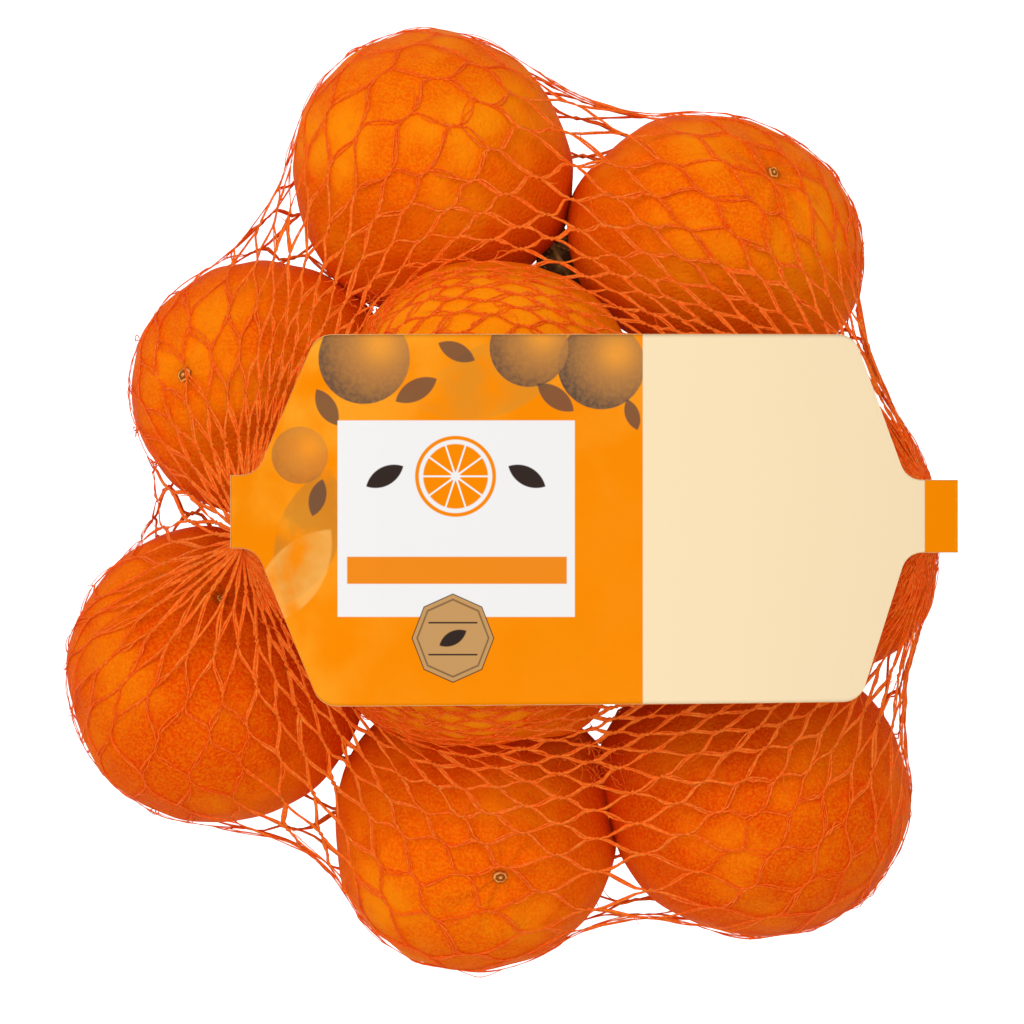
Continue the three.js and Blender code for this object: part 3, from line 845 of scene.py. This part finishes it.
def press_between(points, floor, under_label):
    """Keeps points over the floor and, where the label is, below it, in place."""
    points[:, 2] = np.maximum(points[:, 2], floor)
    x, y = points[:, 0], points[:, 1]
    covered = (x > LABEL["left"] - 2) & (x < LABEL["right"] + 2)
    covered &= (y > LABEL["bottom"] - 4) & (y < LABEL["top"] + 4)
    ceiling = arch_height(x[covered]) - under_label
    points[covered, 2] = np.minimum(points[covered, 2], ceiling)


def laid(points, lift, under_label):
    """Points moved to the lift over peel and floor, and below the label."""
    every = points.reshape(-1, 3)
    press_out(every, lift)
    press_between(every, lift, under_label)
    return every.reshape(points.shape)


def tighten(points, table, fixed, steps):
    """Draws the net tight: strands longer than their length pull fully, shorter ones a little,
    and the net rests on peel, floor and label with friction on the peel."""
    neighbours, spans, ties = table
    share = (0.75 / ties * ~fixed)[:, None]
    for _ in range(steps):
        arms = points[neighbours] - points[:, None]
        size = np.linalg.norm(arms, axis=-1) + 1e-9
        pull = np.maximum(0, 1 - spans / size)
        pull += LIGHT_PULL * np.maximum(0, 1 - 0.25 * spans / size)
        before = points
        points = points + (arms * pull[..., None]).sum(1) * share
        stay_out(points)
        press_out(points, KNOT_LIFT, before, FRICTION)
        press_between(points, 0.2, 0.5)
        points[fixed] = before[fixed]
    return points


def knot_normals(inner, outer):
    """Unit vectors out of the net at every knot, square to the ways along and round it."""
    middle = (inner + outer) / 2
    along = np.gradient(middle, axis=0)
    across = np.roll(middle, -1, 1) - np.roll(middle, 1, 1)
    out = unit(np.cross(along, across))
    return out * np.sign(((middle - HEART) * out).sum(-1, keepdims=True))


def outward(points, fallback):
    """Unit vectors away from the nearest peel within 2 mm, and further off the net's own. Also
    returns how free of the peel each point hangs, from 0 to 1."""
    best = np.full(len(points), 1e9)
    away = np.zeros_like(points)
    for i in range(len(MANDARINS)):
        arms = points - CENTRES[i]
        distance = np.linalg.norm(arms, axis=-1)
        ray = arms / distance[:, None]
        gap = distance - peel_radius(i, ray)
        closer = gap < best
        best = np.where(closer, gap, best)
        away[closer] = ray[closer]
    near = np.clip(1 - best / 2, 0, 1)[:, None]
    return unit(away * near + fallback * (1 - near)), 1 - np.exp(-np.maximum(best - 0.5, 0) / 1.5)


def soften(paths):
    """Rounds off corners: each point moves to the mean of itself and its neighbours' middle."""
    middle = (paths[:, :-2] + paths[:, 2:]) / 2
    paths[:, 1:-1] = (paths[:, 1:-1] + middle) / 2
    return paths




def thread_paths(points, s):
    """Middle lines of the threads. Two zigzag threads start from every knot of the first row,
    one leaning each way; each runs through a knot's stitch and on along a strand."""
    rows, columns = s.rows, s.columns
    inner, outer = points.reshape(2, rows, columns, 3)
    out = knot_normals(inner, outer)
    row = np.arange(rows)
    start = np.repeat(np.arange(columns), 2)[:, None]
    lean = np.tile([0, columns - 1], columns)[:, None]
    column = (start + (row % 2) * lean) % columns
    stops = np.stack([inner[row, column], outer[row, column]], 2).reshape(2 * columns, -1, 3)
    outs = np.repeat(out[row, column], 2, 1)
    steps = np.tile([STITCH_STEPS, STRAND_STEPS], rows)[:-1]
    leg = np.repeat(np.arange(len(steps)), steps)
    share = np.concatenate([np.arange(n) / n for n in steps])
    leg, share = np.append(leg, len(steps) - 1), np.append(share, 1.0)
    mix = share[None, :, None]
    paths = stops[:, leg] * (1 - mix) + stops[:, leg + 1] * mix
    normals = unit(outs[:, leg] * (1 - mix) + outs[:, leg + 1] * mix)
    side = np.where(lean == 0, 1, -1) * np.where((leg // 2) % 2 == 0, 1, -1)
    return paths, normals, leg, share, side


def filament(number, threads, s):
    """Middle line and width direction of one filament of every thread: it winds round the
    thread's line, wide of it in a strand's middle and close to it in a stitch, where the two
    threads of a knot also wind round each other."""
    paths, normals, leg, share, side, free = threads
    draw = np.random.default_rng(s.seed * 50 + number)
    count = len(paths)
    strand = leg % 2 == 1
    along = unit(np.gradient(paths, axis=1))
    across = unit(np.cross(along, normals))
    per_leg = leg.max() + 1
    twist = draw.choice([0, 0.5, 1], (count, per_leg), p=[0.55, 0.3, 0.15])
    turns = np.where(np.arange(per_leg) % 2 == 1, twist, 1.0)
    before = np.cumsum(turns, 1) - turns
    angle = TAU * (before[:, leg] + turns[:, leg] * share) + draw.uniform(0, TAU, (count, 1))
    angle += TAU * number / 3
    belly = np.sin(np.pi * share) ** 0.5
    spread = draw.gamma(3, 0.12, (count, per_leg))[:, leg]
    spread = spread * (1 - 0.65 * free)
    wide = np.where(strand, 0.15 + spread * belly, 0.15)
    bow = draw.normal(0, 0.2, (count, per_leg))[:, leg] * belly * strand * (1 - 0.7 * free)
    apart = np.where(strand, 0.15, 0.16 * np.cos(TAU * share)) * side
    reach = wide * np.cos(angle) + bow + apart * (1 - belly * strand)
    rise = 0.12 + 0.4 * wide * (1 + np.sin(angle))
    points = paths + across * reach[..., None] + normals * rise[..., None]
    lie = 0.6 * np.sin(angle * 0.5)
    flat = unit(across * np.cos(lie)[..., None] + normals * np.sin(lie)[..., None])
    return points, flat


def sweep_flat(name, points, flat, half_width, half_thick, highlight_share):
    """Four-sided tubes along many lines: a flat diamond carried along each line, its long
    corners along flat, closed by a face at each end."""
    count, steps = points.shape[:2]
    along = unit(np.gradient(points, axis=1))
    thin = unit(np.cross(along, flat))
    flat = np.cross(thin, along)
    offsets = [flat * half_width[..., None], thin * half_thick[..., None]]
    ring = np.stack([points + offsets[0], points + offsets[1], points - offsets[0],
                     points - offsets[1]], 2)
    first = np.arange(count)[:, None, None] * steps * 4
    quads = (first + grid_quads(steps, 4, True)[None]).reshape(-1, 4)
    start = first[:, 0] + np.array([[3, 2, 1, 0]])
    end = first[:, 0] + (steps - 1) * 4 + np.array([[0, 1, 2, 3]])
    quads = np.concatenate([quads[:, ::-1], start[:, ::-1], end[:, ::-1]])
    steps_apart = np.linalg.norm(np.diff(points, axis=1, prepend=points[:, :1]), axis=-1)
    travel = np.cumsum(steps_apart, 1) + 7.3 * np.arange(count)[:, None]
    floats = {"highlight_share": np.repeat(highlight_share, 4), "travel": np.repeat(travel, 4)}
    return new_piece(name, ring, quads, floats=floats)


def net_filament(number, threads, s):
    """One filament of every thread as two pieces, lying on peel and floor."""
    points, flat = filament(number, threads, s)
    points = laid(points, 0.1, 0.35)
    free = threads[5]
    draw = np.random.default_rng(s.seed * 70 + number)
    count, steps = points.shape[:2]
    coarse = draw.uniform(0, 1, (count, steps // 3 + 2))
    place = np.arange(steps) / 3
    low = place.astype(int)
    part = place - low
    wobble = coarse[:, low] * (1 - part) + coarse[:, low + 1] * part
    half_width = s.width / MM / 2 * (0.65 + 0.7 * wobble) * (1 + 0.9 * free)
    half_thick = 0.055 + 0.03 * (1 - wobble)
    # Share of painted highlight: more where the filament is flat and thin, and where it hangs
    # free.
    highlight_share = wobble + 0.5 * free - 0.1
    half = count // 2
    return [
        sweep_flat("net_filament_%d" % (2 * number + part + 1), points[rows], flat[rows],
                   half_width[rows], half_thick[rows], highlight_share[rows])
        for part, rows in enumerate((slice(0, half), slice(half, None)))
    ]


FIBRE_STEPS = 8
CURL_STEPS = 18


def loose_fibres(threads, s, number=900):
    """Short broken fibres that stand off the strands: each starts on a thread and bends away."""
    paths, normals = threads[:2]
    draw = np.random.default_rng(s.seed * 90)
    thread = draw.integers(0, len(paths), number)
    place = draw.integers(10, paths.shape[1] - 10, number)
    start, out = paths[thread, place], normals[thread, place]
    ahead = unit(paths[thread, place + 1] - start) * draw.choice([-1, 1], number)[:, None]
    across = np.cross(ahead, out) * draw.choice([-1, 1], number)[:, None]
    steps = np.linspace(0, 1, FIBRE_STEPS)[None, :, None]
    size = draw.uniform(1.2, 4.5, number)[:, None, None]
    bend = draw.uniform(0.2, 0.9, number)[:, None, None]
    lift = draw.uniform(0.05, 0.5, number)[:, None, None]
    points = start[:, None] + ahead[:, None] * size * steps
    points = points + across[:, None] * size * bend * steps**2
    points = points + out[:, None] * (0.2 + size * lift * steps**1.5 * 0.5)
    taper = np.linspace(1, 0.35, FIBRE_STEPS)[None] * np.ones((number, 1))
    flat = np.repeat(across[:, None], FIBRE_STEPS, 1)
    points = laid(points, 0.12, 0.35)
    return sweep_flat("net_loose_fibres", points, flat, 0.13 * taper, 0.06 * taper, taper)


def curly_ends(s, number=80):
    """Torn ends of thread that curl up in the gaps: each runs out from near a tear and winds
    round its own line in a coil that widens."""
    draw = np.random.default_rng(s.seed * 110)
    steps = np.linspace(0, 1, CURL_STEPS)[None, :, None]
    tear = TEARS[(np.arange(number) > 0.6 * number).astype(int)]
    start = tear + draw.normal(0, (2.3, 2.0, 1.4), (number, 3))
    ahead = unit(draw.normal(0, (1, 1, 0.4), (number, 3)) + (0.2, -0.3, 0.15))[:, None]
    size = draw.uniform(1.5, 5.5, number)[:, None, None]
    across = unit(np.cross(ahead, draw.normal(size=(number, 1, 3))))
    other = np.cross(ahead, across)
    coil = draw.uniform(0.15, 0.6, number)[:, None, None] * steps**0.7
    turn = draw.uniform(0.6, 2.6, number)[:, None, None] * TAU * steps
    points = start[:, None] + ahead * size * steps
    points = points + coil * (across * np.cos(turn) + other * np.sin(turn))
    taper = np.linspace(1, 0.6, CURL_STEPS)[None] * draw.uniform(0.7, 1.3, (number, 1))
    flat = np.repeat(across, CURL_STEPS, 1)
    points = laid(points, 0.15, 0.4)
    return sweep_flat("net_torn_ends", points, flat, 0.17 * taper, 0.07 * taper, taper - 0.1)


def gathered_end(name, centre, half, seed):
    """Fused bunch of thread ends: an ellipsoid with folds that run towards its tip and melt
    into one another, rows along X and columns round it."""
    draw = np.random.default_rng(seed)
    theta, phi = polar_grid(40, 96)
    folds = sum(
        height * np.cos(count * phi + draw.uniform(0, TAU) + 1.5 * np.cos(theta))
        for count, height in ((5, 0.09), (11, 0.07), (19, 0.05), (29, 0.03))
    )
    share = 1 + folds * np.sin(theta)
    points = centre + np.stack([
        -half[0] * np.cos(theta) * (1 + 0.15 * np.cos(3 * phi)),
        half[1] * np.sin(theta) * np.cos(phi) * share,
        half[2] * np.sin(theta) * np.sin(phi) * share,
    ], -1)
    every = points.reshape(-1, 3)
    press_between(every, 0.1, 0.3)
    # Painted highlight on the crests of the folds.
    floats = {"highlight_share": folds * 2 + 0.3, "travel": theta * 3}
    return closed_form(name, every.reshape(points.shape), floats)


# ------------------------------------------------------------------ label

def rounded_edge(corners):
    """Points along one edge of the label: straight runs between its corners, each corner
    replaced by an arc that touches both runs."""
    ends = np.array([[LABEL["left"], corners[0][1]], [LABEL["right"], corners[-1][1]]])
    places = np.concatenate([ends[:1], np.array(corners)[:, :2], ends[1:]])
    edge = [ends[:1]]
    radii = np.array(corners)[:, 2]
    for before, corner, after, radius in zip(places, places[1:], places[2:], radii):
        back, ahead = unit(before - corner), unit(after - corner)
        half_angle = np.arccos(np.clip(back @ ahead, -1, 1)) / 2
        inward = unit(back + ahead)
        middle = corner + inward * radius / np.sin(half_angle)
        side = ahead - inward * (ahead @ inward)
        turn = np.linspace(-1, 1, 13)[:, None] * (np.pi / 2 - half_angle)
        edge.append(middle + radius * (unit(side) * np.sin(turn) - inward * np.cos(turn)))
    return np.concatenate(edge + [ends[1:]])


def label_edges(count):
    """Places along the label, close together where its edge is steep, with the lower and upper
    edge at each."""
    upper, lower = rounded_edge(LABEL_TOP), rounded_edge(LABEL_BOTTOM)
    travel = np.concatenate([[0], np.cumsum(np.linalg.norm(np.diff(upper, axis=0), axis=-1))])
    x = np.interp(np.linspace(0, travel[-1], count), travel, upper[:, 0])
    return x, np.interp(x, lower[:, 0], lower[:, 1]), np.interp(x, upper[:, 0], upper[:, 1])


def label_surface(x, y):
    """Height of the film's middle: half of the frame's thickness over the arch, with soft
    waves a few tenths of a millimetre high."""
    waves = 0.28 * np.cos(x / 19 + y / 33 + 0.6) + 0.22 * np.cos(x / 31 - y / 17 + 2.1)
    waves = waves + 0.12 * np.cos(x / 8 + y / 23) * np.exp(-(((y - 31) / 14) ** 2))
    return arch_height(x) + 0.3 + waves


def label_piece(s):
    """The label: a grid between its edges on the film's top and underside, the underside
    reaching 0.12 mm further out so that the cut edge shows from above."""
    columns, rows = 300, 90
    along, low, high = label_edges(columns)
    v = np.linspace(0, 1, rows)
    sides = []
    for inset, level in ((0.12, 0.5), (0.0, -0.5)):
        x = np.clip(along, LABEL["left"] + inset, LABEL["right"] - inset)
        y = (low + inset)[:, None] * (1 - v) + (high - inset)[:, None] * v
        x = np.repeat(x[:, None], rows, 1)
        z = label_surface(x, y) + level * s.film / MM
        sides.append(np.stack([x, y, z], -1))
    piece, rim = closed_sheet("label_film", *sides)
    slots = np.zeros(len(piece.data.polygons), np.int32)
    slots[-rim:] = 1
    return piece, slots


def inside_box(m, x, y, box, soft=0.12):
    """1 inside the box of lowest and highest x and y."""
    inside = 1.0
    for value, low, high in ((x, box[0], box[1]), (y, box[2], box[3])):
        inside = m.times(inside, m.step(value, low - soft, low + soft))
        inside = m.times(inside, m.step(value, high + soft, high - soft))
    return inside


def inside_disc(m, plane, x, y, radius, soft=0.12):
    """1 inside a circle."""
    return m.step(m.vector("DISTANCE", plane, (x, y, 0)), radius + soft, radius - soft)


def leaf_shape(m, plane, x, y, size, turn, soft=0.12):
    """1 inside a leaf, where two circles as far apart as they are wide overlap."""
    ahead = 0.82 * size * np.array([-np.sin(turn), np.cos(turn)])
    shape = 1.0
    for way in (1, -1):
        px, py = float(x + way * ahead[0]), float(y + way * ahead[1])
        shape = m.times(shape, inside_disc(m, plane, px, py, 1.22 * size, soft))
    return shape


def around_point(m, plane, x, y):
    """Distance to a point of the print, and the angle round it."""
    local = m.vector("SUBTRACT", plane, (x, y, 0))
    parts = m.tree.nodes.new("ShaderNodeSeparateXYZ")
    m.put(parts.inputs[0], local)
    angle = m.math("ARCTAN2", parts.outputs[1], parts.outputs[0])
    return m.vector("LENGTH", local, (0, 0, 0)), angle


def citrus_wheel(m, plane, x, y, radius):
    """1 inside the ten segments of a cut fruit seen flat."""
    away, angle = around_point(m, plane, x, y)
    spoke = m.math("ABSOLUTE", m.math("SINE", m.times(angle, 5.0)))
    cut = m.step(m.times(spoke, away), 0.09 * radius, 0.13 * radius)
    return m.times(cut, m.step(away, 0.82 * radius, 0.78 * radius))


def eight_sided(m, plane, x, y):
    """Distance to a point, measured so that its level lines are upright eight-sided shapes: the
    radius times the cosine of the angle to the nearest side's middle."""
    away, angle = around_point(m, m.vector("MULTIPLY", plane, (1.08, 1, 1)), x * 1.08, y)
    share = m.math("FLOORED_MODULO", angle, TAU / 8)
    near = m.math("COSINE", m.math("SUBTRACT", share, TAU / 16))
    return m.times(away, near)


# Printed shapes, in millimetres: fruit with radius and strength, leaves with half length and
# turn, and wide veils with half length, turn, strength and tone.
PRINTED_FRUIT = (
    (-26.4, 26.4, 8.6, 0.95), (18.2, 25.0, 8.2, 1.0),
    (4.6, 28.4, 7.4, 0.9), (-38.6, 8.2, 5.4, 0.5),
)
PRINTED_LEAVES = (
    (-16.6, 20.4, 4.9, 0.5), (-33.4, 17.2, 4.4, 2.1), (9.6, 19.0, 4.7, 2.5),
    (-9.0, 27.6, 4.2, 2.7), (-35.2, 0.2, 4.0, 1.3), (24.0, 15.8, 3.4, 1.9),
)
PRINTED_VEILS = (
    (-37.0, -7.0, 15.0, 1.25, 0.5, (0.40, 0.19, 0.03)),
    (-40.0, -15.0, 13.0, 0.9, 0.7, (0.95, 0.46, 0.10)),
    (-2.0, 22.5, 17.0, 0.35, 0.45, (0.60, 0.27, 0.03)),
    (10.0, -27.0, 12.0, 0.5, 0.25, (0.86, 0.26, 0.0)),
)
# Lowest and highest x and y of the panel and its strip, middles of the cut fruit and the badge,
# and where the cream field and the right tab begin.
PANEL = (-31.4, 13.2, -22.2, 14.7)
STRIP = (-29.6, 11.7, -16.0, -10.9)
WHEEL = (-9.2, 4.2)
BADGE = (-9.7, -26.2)
CREAM_FROM = 25.85
TAB_FROM = 79.25


def print_material(s):
    """Printed film: an orange field, paler and clouded towards its far end, with fruit and
    leaves in brown tones, a white panel with a cut-fruit motif and a strip, a plain eight-sided
    badge, a cream field and an orange tab."""
    m = Shader("label_print", 0.4)
    parts = m.tree.nodes.new("ShaderNodeSeparateXYZ")
    m.put(parts.inputs[0], m.place)
    x, y = parts.outputs[0], parts.outputs[1]
    plane = m.vector("MULTIPLY", m.place, (1, 1, 0))
    clouds = m.step(m.noise(13, 5), 0.36, 0.68)
    far_end = m.math("ADD", m.step(x, -8, -44), m.step(y, -8, 34))
    pale = m.times(clouds, m.math("MULTIPLY_ADD", far_end, 0.5, 0.1), clamp=True)
    art = m.over(pale, 0.8, s.orange, s.pale)
    for px, py, size, turn, depth, tone in PRINTED_VEILS:
        veil = m.times(leaf_shape(m, plane, px, py, size, turn, 0.3), depth)
        art = m.over(veil, m.step(m.noise(9, 3), 0.3, 0.6), art, tone)
    grain = m.step(m.noise(0.8, 3), 0.38, 0.62)
    for px, py, radius, depth in PRINTED_FRUIT:
        disc = inside_disc(m, plane, px, py, radius, 0.15)
        light = m.vector("DISTANCE", plane, (px + 0.35 * radius, py + 0.3 * radius, 0))
        tone = m.mix(m.step(light, 0, 0.75 * radius), (0.86, 0.33, 0.04), (0.44, 0.19, 0.055))
        tone = m.mix(m.step(light, 0.6 * radius, 1.5 * radius), tone, (0.10, 0.065, 0.05))
        tone = m.over(grain, 0.2, tone, (0.62, 0.27, 0.05))
        art = m.over(disc, depth, art, tone)
    for px, py, size, turn in PRINTED_LEAVES:
        leaf = leaf_shape(m, plane, px, py, size, turn, 0.15)
        art = m.over(leaf, 0.8, art, (0.07, 0.05, 0.045))
    art = m.mix(inside_box(m, x, y, PANEL), art, s.panel)
    art = m.mix(inside_disc(m, plane, *WHEEL, 7.6), art, s.orange)
    art = m.mix(inside_disc(m, plane, *WHEEL, 6.9), art, s.panel)
    art = m.mix(citrus_wheel(m, plane, *WHEEL, 7.6), art, s.orange)
    for px, turn in ((-22.5, 0.5), (4.2, 2.64)):
        art = m.mix(leaf_shape(m, plane, px, WHEEL[1], 4.4, turn), art, s.ink)
    art = m.mix(inside_box(m, x, y, STRIP), art, s.strip)
    away = eight_sided(m, plane, *BADGE)
    art = m.mix(m.step(away, 7.85, 7.65), art, s.ink)
    art = m.mix(m.step(away, 7.65, 7.5), art, s.kraft)
    band = m.times(m.step(away, 6.45, 6.6), m.step(away, 6.95, 6.8))
    art = m.over(band, 0.6, art, s.ink)
    for level in (2.9, -3.1):
        line = (BADGE[0] - 4.6, BADGE[0] + 4.6, BADGE[1] + level - 0.15, BADGE[1] + level + 0.15)
        art = m.mix(inside_box(m, x, y, line, 0.08), art, s.ink)
    art = m.mix(leaf_shape(m, plane, *BADGE, 3.2, 0.5), art, s.ink)
    art = m.mix(m.step(x, CREAM_FROM, CREAM_FROM + 0.25), art, s.cream)
    art = m.mix(m.step(x, TAB_FROM, TAB_FROM + 0.25), art, s.orange)
    m.bump(m.noise(14, 2), 0.12)
    return m.fill(Base_Color=art, Specular_IOR_Level=0.012)


def cut_edge_material():
    """Cut edge of the film, paler than the print: partly the bare film, partly a painted edge
    highlight, varying in patches.
    """
    m = Shader("label_cut_edge", 0.5)
    tone = m.step(m.noise(2.5, 2), 0.3, 0.7)
    return m.fill(Base_Color=m.mix(tone, (0.98, 0.5, 0.13), (1.0, 0.6, 0.25)))


# ------------------------------------------------------------------ operators

class NETPACK_OT_mandarins(bpy.types.Operator):
    """Makes the nine mandarins"""

    bl_idname = "netpack.mandarins"
    bl_label = "Make mandarins"

    def execute(self, context):
        settings = context.scene.netpack_fruit
        peel = peel_material(settings)
        for index in range(len(MANDARINS)):
            finish_piece(mandarin(index, settings), peel, "mandarin_peel", "net_of_mandarins")
        return {"FINISHED"}


class NETPACK_OT_buttons(bpy.types.Operator):
    """Makes the stem button of every mandarin, and a dry leaf between them, partly painted shade
    """

    bl_idname = "netpack.buttons"
    bl_label = "Make stem buttons"

    def execute(self, context):
        material = button_material(context.scene.netpack_fruit)
        finish_piece(stem_buttons(), material, "mandarin_peel")
        finish_piece(dry_leaf_and_gap_shade(), leaf_and_gap_shade_material(), "mandarin_peel")
        return {"FINISHED"}


class NETPACK_OT_net(bpy.types.Operator):
    """Makes the net: tightens its knots round the fruit and runs filaments along the threads"""

    bl_idname = "netpack.net"
    bl_label = "Make net"

    def execute(self, context):
        settings = context.scene.netpack_net
        material = net_material(settings)
        points, pairs, lengths, fixed = net_knots(settings)
        table = neighbour_table(len(points), pairs, lengths)
        points = even_out(points, table, fixed, EVEN_OUT_STEPS)
        steps = TIGHTEN_STEPS
        points = tighten(settle(points, fixed), table, fixed, steps)
        threads = thread_paths(points, settings)
        every = threads[0].reshape(-1, 3)
        stay_out(every)
        press_out(every, THREAD_LIFT)
        shape = threads[0].shape
        paths = soften(every.reshape(shape))
        normals, free = outward(paths.reshape(-1, 3), threads[1].reshape(-1, 3))
        threads = (paths, normals.reshape(shape), *threads[2:], free.reshape(shape[:2]))
        for number in range(3):
            for piece in net_filament(number, threads, settings):
                finish_piece(piece, material, "net_plastic")
        finish_piece(curly_ends(settings), material, "net_plastic")
        finish_piece(loose_fibres(threads, settings), material, "net_plastic")
        return {"FINISHED"}


class NETPACK_OT_gathers(bpy.types.Operator):
    """Makes the fused bunches that close both ends of the net"""

    bl_idname = "netpack.gathers"
    bl_label = "Make gathered ends"

    def execute(self, context):
        material = bpy.data.materials["net_plastic"]
        left = gathered_end("net_end_left", GATHER_LEFT, (2.0, 2.2, 2.2), 11)
        right = gathered_end("net_end_right", GATHER_RIGHT, (2.6, 4.6, 3.2), 12)
        for piece in (left, right):
            finish_piece(piece, material, "net_plastic")
        return {"FINISHED"}


class NETPACK_OT_label(bpy.types.Operator):
    """Makes the printed band label"""

    bl_idname = "netpack.label"
    bl_label = "Make label"

    def execute(self, context):
        settings = context.scene.netpack_label
        piece, slots = label_piece(settings)
        finish_piece(piece, print_material(settings), "label_print", "label")
        piece.data.materials.append(cut_edge_material())
        piece.data.polygons.foreach_set("material_index", slots)
        return {"FINISHED"}


MIDDLE_HEIGHT = 0.026  # of the fruit, in metres, where the view has its stated width


def softbox(name, place, size, power):
    """A square area light that looks at the middle of the pack."""
    light = bpy.data.lights.new(name, "AREA")
    light.size = size
    light.energy = power
    lamp = bpy.data.objects.new(name, light)
    lamp.location = place
    aim = np.array(place) - HEART * MM
    lamp.rotation_euler = (
        np.arctan2(np.hypot(aim[0], aim[1]), aim[2]), 0, np.arctan2(aim[0], -aim[1])
    )
    bpy.context.scene.collection.objects.link(lamp)


class NETPACK_OT_stage(bpy.types.Operator):
    """Makes the pale floor, the soft studio light and the camera"""

    bl_idname = "netpack.stage"
    bl_label = "Make stage"

    def execute(self, context):
        s = context.scene.netpack_stage
        scene = context.scene
        corners = 2500 * np.array([[-1, -1, 0], [1, -1, 0], [1, 1, 0], [-1, 1, 0]])
        paper = Shader("floor_paper", 0.85)
        tone = paper.mix(paper.noise(300, 2), (0.88, 0.88, 0.88), (0.92, 0.92, 0.92))
        paper.fill(Base_Color=tone)
        glow = Shader("floor_glow", 0.85)
        veil = glow.mix(glow.noise(300, 2), (0.9, 0.9, 0.9), (0.94, 0.94, 0.94))
        glow.fill(Base_Color=veil, Emission_Color=(1, 1, 1), Emission_Strength=0.9)
        for name, depth, shader in (("floor", 0.0, paper), ("floor_backlight", -0.4, glow)):
            floor = new_piece(name, corners + UP * depth, np.array([[0, 1, 2, 3]]))
            floor.data.materials.append(shader.material)
        # The eye sees the backlit sheet, as on a light table; the fruit is lit by the plain one.
        bpy.data.objects["floor"].visible_camera = False
        floor.visible_diffuse = False
        floor.visible_glossy = False
        floor.visible_shadow = False
        world = bpy.data.worlds.new("studio")
        world.use_nodes = True
        world.node_tree.nodes["Background"].inputs["Color"].default_value = (1, 1, 1, 1)
        world.node_tree.nodes["Background"].inputs["Strength"].default_value = s.sky
        scene.world = world
        softbox("overhead_softbox", (-0.15, 0.55, 2.0), 1.5, s.key)
        softbox("side_softbox", (-1.5, 0.2, 1.3), 1.0, s.side)
        softbox("front_softbox", (0.1, -1.5, 1.3), 1.2, s.front)
        camera = bpy.data.cameras.new("camera")
        camera.lens = camera.sensor_width * (s.height - MIDDLE_HEIGHT) / s.view
        camera.clip_end = 20
        eye = bpy.data.objects.new("camera", camera)
        eye.location = (0.0014, -0.0025, s.height)
        scene.collection.objects.link(eye)
        scene.camera = eye
        scene.view_settings.view_transform = "Standard"
        return {"FINISHED"}


class NETPACK_PT_panel(bpy.types.Panel):
    """Lists the pieces of the pack"""

    bl_idname = "NETPACK_PT_panel"
    bl_label = "Net of mandarins"
    bl_space_type = "VIEW_3D"
    bl_region_type = "UI"
    bl_category = "Mandarins"

    def draw(self, context):
        for group in ("netpack_fruit", "netpack_net", "netpack_label", "netpack_stage"):
            box = self.layout.box()
            settings = getattr(context.scene, group)
            for key in settings.bl_rna.properties.keys():
                if key not in ("rna_type", "name"):
                    box.prop(settings, key)
        for operator in OPERATORS:
            self.layout.operator(operator.bl_idname)


SETTINGS = {
    "netpack_fruit": FruitSettings,
    "netpack_net": NetSettings,
    "netpack_label": LabelSettings,
    "netpack_stage": StageSettings,
}
OPERATORS = (
    NETPACK_OT_mandarins,
    NETPACK_OT_buttons,
    NETPACK_OT_net,
    NETPACK_OT_gathers,
    NETPACK_OT_label,
    NETPACK_OT_stage,
)
CLASSES = (*SETTINGS.values(), *OPERATORS, NETPACK_PT_panel)


def register():
    """Adds the classes, and the settings to every scene."""
    for item in CLASSES:
        bpy.utils.register_class(item)
    for name, group in SETTINGS.items():
        setattr(bpy.types.Scene, name, PointerProperty(type=group))


def unregister():
    """Takes the settings and the classes away again."""
    for name in SETTINGS:
        delattr(bpy.types.Scene, name)
    for item in reversed(CLASSES):
        bpy.utils.unregister_class(item)


def main():
    """Registers the add-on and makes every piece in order."""
    register()
    bpy.ops.netpack.mandarins()
    bpy.ops.netpack.buttons()
    bpy.ops.netpack.net()
    bpy.ops.netpack.gathers()
    bpy.ops.netpack.label()
    bpy.ops.netpack.stage()


if __name__ == "__main__":
    main()
